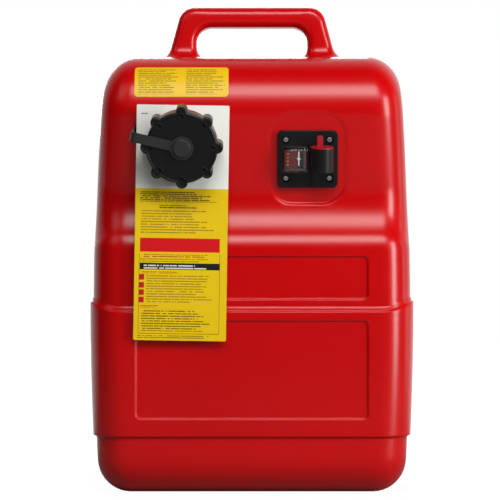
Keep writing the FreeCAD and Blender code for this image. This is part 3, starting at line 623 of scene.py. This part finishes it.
# Bend of the tether, where the strap gives as the cap comes off
strapForm = {
    "angle": 167.0,
    "reach": 56.0,
    "gap": 0.12,
    "width": 10.8,
    "thickness": 2.3,
    "low": 9.0,
    "high": 15.0,
    "rows": 12,
    "bendFrom": 11.0,
    "bendTo": 12.8,
}
bendPoints, bendRows = [], []
turn = math.radians(strapForm["angle"])
outerReach = strapForm["reach"] + strapForm["gap"]
innerReach = outerReach - strapForm["thickness"]
halfWidth = strapForm["width"] / 2
for i in range(strapForm["rows"] + 1):
    h = strapForm["low"] + (strapForm["high"] - strapForm["low"]) * i / strapForm["rows"]
    section = []
    for radius, side in (
        (outerReach, -halfWidth), (outerReach, halfWidth),
        (innerReach, halfWidth), (innerReach, -halfWidth),
    ):
        x = radius * math.cos(turn) - side * math.sin(turn)
        y = radius * math.sin(turn) + side * math.cos(turn)
        section.append(onSeat(neckFoot, x, y, h))
    bendRows.append(addRow(bendPoints, section))
bendFaces = gridFaces(bendRows, closed=True) + [tuple(bendRows[0]), tuple(bendRows[-1])]
bendPiece = makePiece("tetherBend", bendPoints, bendFaces, None, smooth=False)
paint(bendPiece, strapPlastic)
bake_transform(bendPiece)

# Sticker on the shoulder, between two angles of the shoulder's arc
stickerForm = {
    "left": -128.0,
    "right": -25.5,
    "low": 11.5,
    "high": 49.0,
    "corner": 4.0,
    "radius": 60.32,
    "rows": 28,
    "columns": 12,
    "colour": "E2B806",
    "ruleColour": "8F7408",
    "rulePitch": 2.7,
    "ruleWeight": 0.45,
    "rules": (((-124.0, -80.0, 15.0, 48.5), 2.0), ((-72.0, -29.0, 15.0, 48.5), 6.0)),
}
stickerPoints, stickerRows = [], []
stickerRadius, corner = stickerForm["radius"], stickerForm["corner"]
arcLength = math.radians(stickerForm["high"] - stickerForm["low"]) * stickerRadius
for i in range(stickerForm["rows"] + 1):
    s = arcLength * (0.5 - 0.5 * math.cos(math.pi * i / stickerForm["rows"]))
    near = min(s, arcLength - s)
    inset = corner - math.sqrt(corner ** 2 - (corner - near) ** 2) if near < corner else 0.0
    a = math.radians(stickerForm["low"]) + s / stickerRadius
    left, width = stickerForm["left"] + inset, stickerForm["right"] - stickerForm["left"] - 2 * inset
    y = form["front"] + shoulderDepth - stickerRadius * math.cos(a)
    z = shoulderZ + stickerRadius * math.sin(a)
    places = [
        (left + width * j / stickerForm["columns"], y, z) for j in range(stickerForm["columns"] + 1)
    ]
    stickerRows.append(addRow(stickerPoints, places))
stickerPiece = makePiece(
    "shoulderSticker", stickerPoints, gridFaces(stickerRows, closed=False), "tank",
    ["shoulder_sticker"],
)
print("neck, strap and sticker made")


# Printed pieces: flat areas of colour and plain ruled lines, in millimetres of the object's place
def objectPlace(tree):
    place = addNode(tree, "ShaderNodeTexCoord").outputs["Object"]
    split = addNode(tree, "ShaderNodeSeparateXYZ", (place,))
    return [
        addNode(tree, "ShaderNodeMath", (axis, 1 / mm), operation="MULTIPLY") for axis in split.outputs
    ]


def boxMask(tree, x, z, x0, x1, z0, z1):
    inX = addNode(tree, "ShaderNodeMath", (x, (x0 + x1) / 2, (x1 - x0) / 2), operation="COMPARE")
    inZ = addNode(tree, "ShaderNodeMath", (z, (z0 + z1) / 2, (z1 - z0) / 2), operation="COMPARE")
    return addNode(tree, "ShaderNodeMath", (inX, inZ), operation="MULTIPLY")


# Lines of uneven length with gaps in them. The shortest is a share of the area's width.
ruleForm = {"shortest": 0.66, "cellsPerMm": 0.55, "cellsPerRow": 5.3, "gapBelow": 0.36}


def ruledMask(tree, x, z, area, pitch, weight, seed):
    x0, x1, z0, z1 = area
    shortest = (x1 - x0) * ruleForm["shortest"]
    row = addNode(tree, "ShaderNodeMath", (z, pitch), operation="DIVIDE")
    rowIndex = addNode(tree, "ShaderNodeMath", (row,), operation="FLOOR")
    inRow = addNode(tree, "ShaderNodeMath", (row,), operation="FRACT")
    stripe = addNode(tree, "ShaderNodeMath", (inRow, 0.5, weight / 2), operation="COMPARE")
    rowSeed = addNode(tree, "ShaderNodeMath", (rowIndex, seed), operation="ADD")
    chance = addNode(tree, "ShaderNodeTexWhiteNoise", {"W": rowSeed}, noise_dimensions="1D")
    end = addNode(
        tree, "ShaderNodeMath", (chance, x1 - x0 - shortest, x0 + shortest), operation="MULTIPLY_ADD"
    )
    short = addNode(tree, "ShaderNodeMath", (x, end), operation="LESS_THAN")
    along = addNode(tree, "ShaderNodeMath", (x, ruleForm["cellsPerMm"]), operation="MULTIPLY")
    across = addNode(tree, "ShaderNodeMath", (rowIndex, ruleForm["cellsPerRow"]), operation="MULTIPLY")
    words = addNode(tree, "ShaderNodeCombineXYZ", (along, across, seed))
    noise = addNode(tree, "ShaderNodeTexNoise", {"Vector": words, "Scale": 1.0, "Detail": 0.0})
    gap = addNode(tree, "ShaderNodeMath", (noise, ruleForm["gapBelow"]), operation="GREATER_THAN")
    mask = boxMask(tree, x, z, x0, x1, z0, z1)
    for part in (stripe, short, gap):
        mask = addNode(tree, "ShaderNodeMath", (mask, part), operation="MULTIPLY")
    return mask


def layInks(tree, ground, layers):
    colour = linear(ground)
    for mask, ink in layers:
        colour = addNode(
            tree, "ShaderNodeMix", {0: mask, 6: colour, 7: linear(ink)}, data_type="RGBA"
        )
    return colour


# Coated card: white and yellow print under a soft sheen. It hangs a little askew round the neck.
cardForm = {"colour": "E6E8E0", "centre": (-75.0, 382.228), "lean": 0.9}
cardForm["inks"] = {
    "yellow": ("E3BE08", (-60, 60, -220, -49.5)),
    "redBand": ("CE0A12", (-44.4, 42.0, -118.2, -103.2)),
    "blackBar": ("16140E", (-44.4, 42.0, -137.3, -130.2)),
    "firstMark": ("B8141A", (-45.2, -39.4, -148.6, -142.4)),
    "secondMark": ("B8141A", (-45.2, -39.4, -157.2, -151.0)),
    "thirdMark": ("B8141A", (-45.2, -39.4, -165.2, -159.0)),
    "fourthMark": ("B8141A", (-45.2, -39.4, -173.2, -167.0)),
    "leftRule": ("8A5A10", (-45.3, -44.8, -206.5, -120.5)),
    "rightRule": ("8A5A10", (42.0, 42.5, -206.5, -120.5)),
    "lowRule": ("8A5A10", (-45.3, 42.5, -206.8, -206.2)),
}
# Area, pitch, share of the pitch that is inked, colour, seed
cardForm["rules"] = [
    ((-45.0, 42.0, -64.0, -52.5), 2.1, 0.62, "6B5A0A", 3.0),
    ((-24.0, 20.0, -70.8, -67.6), 3.0, 0.60, "3A3208", 8.0),
    ((-44.0, 38.0, -99.5, -72.5), 2.9, 0.42, "9A8110", 5.0),
    ((-40.0, 38.0, -123.8, -121.0), 2.6, 0.55, "A83A10", 2.0),
    ((-44.0, 40.0, -129.6, -124.8), 2.4, 0.40, "9A8110", 6.0),
    ((-42.0, 8.0, -141.6, -139.6), 2.2, 0.60, "A83A10", 4.0),
    ((-37.0, 36.0, -174.0, -142.0), 2.8, 0.40, "9A8110", 11.0),
    ((-44.0, -20.0, -178.6, -176.2), 2.4, 0.60, "A83A10", 7.0),
    ((-42.0, 40.0, -204.0, -180.0), 2.7, 0.42, "6B5A0A", 9.0),
    ((-46.0, 44.0, -212.0, -208.0), 2.0, 0.40, "6B5A0A", 12.0),
    ((-45.0, -37.0, 30.6, 32.4), 1.9, 0.6, "5A5A58", 13.0),
    ((-40.0, 40.0, -136.6, -130.9), 2.8, 0.50, "D8D8D0", 14.0),
]
cardMaterial = newMaterial("printedCard", cardForm["colour"], 0.5, Specular_IOR_Level=0.25)
cardTree = cardMaterial.node_tree
cardPlace = objectPlace(cardTree)
lean = math.radians(cardForm["lean"])
fromX, fromZ = [
    addNode(cardTree, "ShaderNodeMath", (axis, centre), operation="SUBTRACT")
    for axis, centre in zip((cardPlace[0], cardPlace[2]), cardForm["centre"])
]
turned = []
for byX, byZ in ((math.cos(lean), -math.sin(lean)), (math.sin(lean), math.cos(lean))):
    part = addNode(cardTree, "ShaderNodeMath", (fromZ, byZ), operation="MULTIPLY")
    turned.append(addNode(cardTree, "ShaderNodeMath", (fromX, byX, part), operation="MULTIPLY_ADD"))
cardLayers = [(boxMask(cardTree, *turned, *box), ink) for ink, box in cardForm["inks"].values()]
cardLayers += [
    (ruledMask(cardTree, *turned, area, pitch, weight, seed), ink)
    for area, pitch, weight, ink, seed in cardForm["rules"]
]
feedSurface(cardMaterial, "Base Color", layInks(cardTree, cardForm["colour"], cardLayers))
paint("hang_card", cardMaterial)

# Vinyl film: yellow print, a little glossier than the card
stickerMaterial = newMaterial("printedSticker", stickerForm["colour"], 0.42, Specular_IOR_Level=0.35)
stickerTree = stickerMaterial.node_tree
stickerX, stickerY, stickerZ = objectPlace(stickerTree)
rise = addNode(stickerTree, "ShaderNodeMath", (stickerZ, shoulderZ), operation="SUBTRACT")
away = addNode(
    stickerTree, "ShaderNodeMath", (form["front"] + shoulderDepth, stickerY), operation="SUBTRACT"
)
stickerAngle = addNode(stickerTree, "ShaderNodeMath", (rise, away), operation="ARCTAN2")
arc = addNode(stickerTree, "ShaderNodeMath", (stickerAngle, stickerRadius), operation="MULTIPLY")
stickerLayers = []
for area, seed in stickerForm["rules"]:
    mask = ruledMask(
        stickerTree, stickerX, arc, area, stickerForm["rulePitch"], stickerForm["ruleWeight"], seed
    )
    stickerLayers.append((mask, stickerForm["ruleColour"]))
feedSurface(stickerMaterial, "Base Color", layInks(stickerTree, stickerForm["colour"], stickerLayers))
paint(stickerPiece, stickerMaterial)

# Printed drum behind the lens: matt ink, so that no glare hides the marks
dialForm = {
    "centre": (47.3, 365.475),
    "ground": "080707",
    "redInk": "5E060E",
    "redUpTo": 1.8,
    "lightInk": "E8E8E4",
    "lightBoxes": ((3.0, 4.2, -7.6, 7.6), (1.6, 5.6, -0.6, 0.6)),
    "markInk": "C08A2A",
    "markSides": (-9.6, -7.2),
    "markHeights": (-6.5, -2.5, 1.5, 5.5),
    "markHalf": 0.7,
}
dialMaterial = newMaterial("dialPrint", "0E0E0E", 0.65, Specular_IOR_Level=0.06)
dialTree = dialMaterial.node_tree
dialPlace = objectPlace(dialTree)
dialX, dialZ = [
    addNode(dialTree, "ShaderNodeMath", (axis, centre), operation="SUBTRACT")
    for axis, centre in zip((dialPlace[0], dialPlace[2]), dialForm["centre"])
]
redSide = addNode(dialTree, "ShaderNodeMath", (dialX, dialForm["redUpTo"]), operation="LESS_THAN")
dialLayers = [(redSide, dialForm["redInk"])]
for box in dialForm["lightBoxes"]:
    dialLayers.append((boxMask(dialTree, dialX, dialZ, *box), dialForm["lightInk"]))
for height in dialForm["markHeights"]:
    ends = (height - dialForm["markHalf"], height + dialForm["markHalf"])
    mask = boxMask(dialTree, dialX, dialZ, *dialForm["markSides"], *ends)
    dialLayers.append((mask, dialForm["markInk"]))
feedSurface(dialMaterial, "Base Color", layInks(dialTree, dialForm["ground"], dialLayers))
paint("gauge_dial", dialMaterial)
print("printed pieces ready")


# A node tree takes named lengths, lays copies of one shape out and turns them onto a seat
def newTree(name, sizes):
    tree = bpy.data.node_groups.new(name, "GeometryNodeTree")
    tree.interface.new_socket("Geometry", in_out="INPUT", socket_type="NodeSocketGeometry")
    tree.interface.new_socket("Geometry", in_out="OUTPUT", socket_type="NodeSocketGeometry")
    tree.is_modifier = True
    for label, value in sizes.items():
        socket = tree.interface.new_socket(label, in_out="INPUT", socket_type="NodeSocketFloat")
        socket.default_value = value * mm
    return tree, tree.nodes.new("NodeGroupInput").outputs


def layOut(tree, spots, shape, height, foot, material):
    copies = addNode(tree, "GeometryNodeInstanceOnPoints", {"Points": spots, "Instance": shape})
    real = addNode(tree, "GeometryNodeRealizeInstances", (copies,))
    lift = addNode(tree, "ShaderNodeCombineXYZ", {"Z": height})
    lifted = addNode(tree, "GeometryNodeTransform", {"Geometry": real, "Translation": lift})
    seated = addNode(tree, "GeometryNodeTransform", {
        "Geometry": lifted, "Translation": metres(foot), "Rotation": (math.pi / 2 + tilt, 0.0, 0.0),
    })
    inked = addNode(tree, "GeometryNodeSetMaterial", {"Geometry": seated, "Material": material})
    addNode(tree, "NodeGroupOutput", (inked,))


def runTree(name, tree, sizes, body, nodes=()):
    piece = addObject(name, bpy.data.meshes.new(name + "Base"))
    modifier = piece.modifiers.new("layout", "NODES")
    modifier.node_group = tree
    for item in tree.interface.items_tree:
        if item.in_out == "INPUT" and item.name in sizes:
            modifier[item.identifier] = sizes[item.name] * mm
    evaluated = piece.evaluated_get(bpy.context.evaluated_depsgraph_get())
    mesh = bpy.data.meshes.new_from_object(evaluated)
    piece.modifiers.remove(modifier)
    piece.data = mesh
    mesh.name = name
    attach(piece, body)
    if nodes:
        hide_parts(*nodes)
    return piece


# Screw heads in the gauge plate on a two by two grid: a drum, a dome on it and a cross recess
screwForm = {
    "Across": 47.5,
    "Up": 42.5,
    "Head radius": 3.3,
    "Drum height": 1.2,
    "Dome radius": 2.376,
    "Dome height": 0.8,
    "Recess length": 4.29,
    "Recess width": 1.3,
    "Recess bar": 3.0,
    "Base": 1.52,
}
screwSteps = 40  # sides of the round head
screwPlane = 1.4  # height over the gauge seat that the screws are measured from
screwTree, size = newTree("screwHeads", screwForm)
grid = addNode(screwTree, "GeometryNodeMeshGrid", {
    "Size X": size["Across"], "Size Y": size["Up"], "Vertices X": 2, "Vertices Y": 2,
})
drum = addNode(screwTree, "GeometryNodeMeshCylinder", {
    "Vertices": screwSteps, "Radius": size["Head radius"], "Depth": size["Drum height"],
})
dome = addNode(screwTree, "GeometryNodeMeshCone", {
    "Vertices": screwSteps, "Radius Bottom": size["Head radius"], "Radius Top": size["Dome radius"],
    "Depth": size["Dome height"],
})
drumMiddle = addNode(screwTree, "ShaderNodeMath", (size["Drum height"], 0.5), operation="MULTIPLY")
headTop = addNode(
    screwTree, "ShaderNodeMath", (size["Drum height"], size["Dome height"]), operation="ADD"
)
length, width, deep = size["Recess length"], size["Recess width"], size["Recess bar"]
bars = []
for sides in ((length, width, deep), (width, length, deep)):
    barSize = addNode(screwTree, "ShaderNodeCombineXYZ", sides)
    bars.append(addNode(screwTree, "GeometryNodeMeshCube", {"Size": barSize}))
solidHead = addNode(screwTree, "GeometryNodeMeshBoolean", operation="UNION")
crossHead = addNode(screwTree, "GeometryNodeMeshBoolean", (solidHead,), operation="DIFFERENCE")
for shape, height, join in (
    (drum, drumMiddle, solidHead), (dome, size["Drum height"], solidHead),
    (bars[0], headTop, crossHead), (bars[1], headTop, crossHead),
):
    lift = addNode(screwTree, "ShaderNodeCombineXYZ", {"Z": height})
    lifted = addNode(screwTree, "GeometryNodeTransform", {"Geometry": shape, "Translation": lift})
    connect(screwTree, lifted, join.inputs["Mesh 2"])
layOut(screwTree, grid, crossHead, size["Base"], onSeat(gaugeSeat, 0, 0, screwPlane), zinc)
runTree("plateScrewHeads", screwTree, screwForm, "tank", ["plate_screws"])

# Gauge plate with its flange closed by two bars over the pin's bore, beyond the lugs
plateForm = {
    "axisX": -13.5, "width": 4.0, "from": 11.32, "to": 30.9, "low": 2.4, "high": 5.494,
    "sharpFrom": 0.5, "leastEdge": 0.005,
}
platePiece = addObject("gaugePlateFace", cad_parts["gauge_plate"].data.copy())
platePiece.matrix_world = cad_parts["gauge_plate"].matrix_world
barPoints, barFaces = [], []
for hand in (-1, 1):
    corners = addRow(barPoints, [
        onSeat(gaugeSeat, plateForm["axisX"] + x, y, z)
        for z in (plateForm["low"], plateForm["high"])
        for y in (hand * plateForm["from"], hand * plateForm["to"])
        for x in (-plateForm["width"] / 2, plateForm["width"] / 2)
    ])
    for face in ((0, 1, 3, 2), (4, 6, 7, 5), (0, 4, 5, 1), (2, 3, 7, 6), (0, 2, 6, 4), (1, 5, 7, 3)):
        barFaces.append(tuple(corners[c] for c in face))
plateBars = addObject("plateBars", outwardMesh("plateBars", barPoints, barFaces, smooth=False))
union = platePiece.modifiers.new("join", "BOOLEAN")
union.operation, union.solver, union.object = "UNION", "EXACT", plateBars
bpy.context.view_layer.update()
evaluatedPlate = platePiece.evaluated_get(bpy.context.evaluated_depsgraph_get())
plateMesh = bpy.data.meshes.new_from_object(evaluatedPlate)
platePiece.modifiers.remove(union)
platePiece.data = plateMesh
bpy.data.objects.remove(plateBars)
work = bmesh.new()
work.from_mesh(plateMesh)
bmesh.ops.dissolve_degenerate(work, edges=work.edges, dist=plateForm["leastEdge"] * mm)
for face in work.faces:
    face.smooth = True
for edge in work.edges:
    edge.smooth = len(edge.link_faces) == 2 and edge.calc_face_angle() < plateForm["sharpFrom"]
work.to_mesh(plateMesh)
work.free()
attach(platePiece, "tank")
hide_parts("gauge_plate")
paint(platePiece, blackPlastic)

# Raised ridge that follows the cap's lobes, a little inside its edge and behind the frontLimit
ridgeForm = {
    "lobes": 8,
    "valley": 38.5,
    "lobe": 6.3,
    "lobeAt": 38.0,
    "inset": 2.1,
    "height": 55.0,
    "radius": 0.8,
    "frontLimit": 62.05,
    "steps": 360,
    "sides": 8,
}
lobe, lobeAt = ridgeForm["lobe"] - ridgeForm["inset"], ridgeForm["lobeAt"]
lobeTurn = 2 * math.pi / ridgeForm["lobes"]
outline = []
for i in range(ridgeForm["steps"]):
    a = 2 * math.pi * i / ridgeForm["steps"]
    off = (a + lobeTurn / 2) % lobeTurn - lobeTurn / 2
    reach = ridgeForm["valley"] - ridgeForm["inset"]
    inside = lobe ** 2 - (lobeAt * math.sin(off)) ** 2
    if inside > 0:
        reach = max(reach, lobeAt * math.cos(off) + math.sqrt(inside))
    outline.append((reach * math.cos(a), reach * math.sin(a)))
ridgePoints, ridgeRows = [], []
radius = ridgeForm["radius"]
for i, (x, y) in enumerate(outline):
    before, after = outline[i - 1], outline[(i + 1) % len(outline)]
    run, rise = after[0] - before[0], after[1] - before[1]
    length = math.hypot(run, rise)
    highest = (ridgeForm["frontLimit"] - y * math.sin(tilt)) / math.cos(tilt) - radius
    level = min(ridgeForm["height"], highest)
    section = []
    for k in range(ridgeForm["sides"]):
        b = 2 * math.pi * k / ridgeForm["sides"]
        out, up = radius * math.cos(b), radius * math.sin(b)
        section.append(onSeat(neckFoot, x + rise / length * out, y - run / length * out, level + up))
    ridgeRows.append(addRow(ridgePoints, section))
ridgeRows.append(ridgeRows[0])
ridgePiece = makePiece("capRidge", ridgePoints, gridFaces(ridgeRows, closed=True), "cap")
paint(ridgePiece, blackPlastic)

# Raised rims round the cap's gripping pockets, one to a lobe
rimForm = {"Circle": 33.8, "Rim radius": 3.0, "Rim wire": 0.55, "Height": 55.0}
rimSteps, wireSteps = 28, 10
rimTree, size = newTree("pocketRims", rimForm)
spots = addNode(
    rimTree, "GeometryNodeMeshCircle", {"Vertices": ridgeForm["lobes"], "Radius": size["Circle"]}
)
loop, wire = [
    addNode(rimTree, "GeometryNodeCurvePrimitiveCircle", {"Resolution": count, "Radius": size[label]})
    for count, label in ((rimSteps, "Rim radius"), (wireSteps, "Rim wire"))
]
rim = addNode(rimTree, "GeometryNodeCurveToMesh", (loop, wire))
layOut(rimTree, spots, rim, size["Height"], neckFoot, blackPlastic)
rimPiece = runTree("capPocketRims", rimTree, rimForm, "cap")
for polygon in rimPiece.data.polygons:
    polygon.use_smooth = True
print("screw heads and pocket rims laid out")

# Finish of each CAD node that stays as it is
finishes = {
    "cap_shell": blackPlastic,
    "cap_insert": blackPlastic,
    "cap_gasket": rubber,
    "cap_button": strapPlastic,
    "vent_cage": blackPlastic,
    "vent_poppet": plugRed,
    "vent_spring": steel,
    "cap_tether": strapPlastic,
    "neck_ring": strapPlastic,
    "plate_gasket": rubber,
    "threaded_inserts": brass,
    "gauge_lens": clear,
    "pivot_pin": steel,
    "float_arm": steel,
    "fuel_float": foam,
    "float_clip": steel,
    "outlet_barrel": blackPlastic,
    "barrel_end_plug": blackPlastic,
    "outlet_valve": brass,
    "valve_spring": steel,
    "dust_plug": plugRed,
    "pickup_tube": tube,
    "pickup_strainer": tube,
}
for node, material in finishes.items():
    paint(node, material)

# World and floor, in metres. Camera and clear pieces see white, and gloss sees it behind the object.
worldForm = {"colour": (1.0, 0.97, 0.95, 1.0), "strength": 0.02, "near": 0.1, "far": 0.7}
floorForm = {
    "half": 4.0, "glow": 1.22, "near": 0.2, "far": 0.6,
    "shadowFrom": 0.25, "shadowTo": 0.9, "leastCover": 0.78,
}


def seesWhite(tree, depth, near, far):
    paths = addNode(tree, "ShaderNodeLightPath").outputs
    behind = addNode(tree, "ShaderNodeMapRange", {"Value": depth, "From Min": near, "From Max": far})
    gloss = addNode(tree, "ShaderNodeMath", (paths["Is Glossy Ray"], behind), operation="MULTIPLY")
    straight = addNode(
        tree, "ShaderNodeMath", (paths["Is Camera Ray"], paths["Is Transmission Ray"]), operation="MAXIMUM"
    )
    return addNode(tree, "ShaderNodeMath", (straight, gloss), operation="MAXIMUM")


world = bpy.data.worlds.new("studio")
bpy.context.scene.world = world
world.use_nodes = True
worldTree = world.node_tree
roomLight = worldTree.nodes["Background"]
roomLight.inputs["Color"].default_value = worldForm["colour"]
roomLight.inputs["Strength"].default_value = worldForm["strength"]
whiteLight = addNode(worldTree, "ShaderNodeBackground", {"Color": white, "Strength": 1.0})
direction = addNode(worldTree, "ShaderNodeTexCoord").outputs["Generated"]
worldDepth = addNode(worldTree, "ShaderNodeSeparateXYZ", (direction,)).outputs["Y"]
worldWhite = seesWhite(worldTree, worldDepth, worldForm["near"], worldForm["far"])
choice = addNode(worldTree, "ShaderNodeMixShader", (worldWhite, roomLight, whiteLight))
connect(worldTree, choice, worldTree.nodes["World Output"].inputs["Surface"])

# Seamless studio paper: matt and even, glowing white away from the object's shadow
half = floorForm["half"]
floorMesh = bpy.data.meshes.new("studioFloor")
floorMesh.from_pydata(
    [(-half, -half, 0.0), (half, -half, 0.0), (half, half, 0.0), (-half, half, 0.0)], [], [(0, 1, 2, 3)]
)
floor = addObject("studioFloor", floorMesh)
floorMaterial = newMaterial("studioPaper", "8C8C8C", 0.9)
floorTree = floorMaterial.node_tree
glow = addNode(floorTree, "ShaderNodeEmission", {"Color": white, "Strength": floorForm["glow"]})
floorPlace = addNode(floorTree, "ShaderNodeTexCoord").outputs["Object"]
distance = addNode(floorTree, "ShaderNodeVectorMath", (floorPlace,), operation="LENGTH")
cover = addNode(floorTree, "ShaderNodeMapRange", {
    "Value": distance, "From Min": floorForm["shadowFrom"], "From Max": floorForm["shadowTo"],
    "To Min": floorForm["leastCover"], "To Max": 1.0,
})
floorDepth = addNode(floorTree, "ShaderNodeSeparateXYZ", (floorPlace,)).outputs["Y"]
floorWhite = seesWhite(floorTree, floorDepth, floorForm["near"], floorForm["far"])
amount = addNode(floorTree, "ShaderNodeMath", (floorWhite, cover), operation="MULTIPLY")
floorChoice = addNode(
    floorTree, "ShaderNodeMixShader", (amount, floorTree.nodes["Principled BSDF"], glow)
)
connect(floorTree, floorChoice, floorTree.nodes["Material Output"].inputs["Surface"])
floorMesh.materials.append(floorMaterial)

# Lamps round the object
lamps = {
    "keySoftbox": {"at": (0.62, -2.05, 1.86), "size": (2.0, 0.9), "watts": 14.0},
    "highSoftbox": {"at": (0.25, -1.75, 2.0), "size": (1.5, 0.9), "watts": 31.0},
    "rightSoftbox": {"at": (1.9, -1.3, 0.7), "size": (0.6, 1.4), "watts": 38.0},
    "rightStrip": {"at": (2.0, 0.35, 0.55), "size": (0.5, 1.2), "watts": 2.4},
    "leftSoftbox": {"at": (-1.5, -1.4, 1.9), "size": (1.2, 1.2), "watts": 5.0},
    "backSoftbox": {"at": (-0.5, 2.3, 1.1), "size": (1.6, 1.2), "watts": 34.0},
}
aim = addObject("lampAim", None)
aim.location = (0.0, 0.0, 0.26)
for name, values in lamps.items():
    data = bpy.data.lights.new(name, "AREA")
    data.shape = "RECTANGLE"
    data.size, data.size_y = values["size"]
    data.energy = values["watts"]
    lamp = addObject(name, data)
    lamp.location = values["at"]
    track = lamp.constraints.new("TRACK_TO")
    track.target = aim
    track.track_axis, track.up_axis = "TRACK_NEGATIVE_Z", "UP_Y"

# Camera in front of the tank
cameraForm = {"at": (-0.0021, -2.472, 0.2664), "lens": 159.4, "sensor": 36.0, "far": 50.0}
cameraData = bpy.data.cameras.new("camera")
cameraData.lens = cameraForm["lens"]
cameraData.sensor_width = cameraForm["sensor"]
cameraData.clip_end = cameraForm["far"]
camera = addObject("camera", cameraData)
camera.location = cameraForm["at"]
camera.rotation_euler = (math.pi / 2, 0.0, 0.0)
bpy.context.scene.camera = camera
bpy.context.scene.view_settings.view_transform = "Standard"
print("light and camera ready")
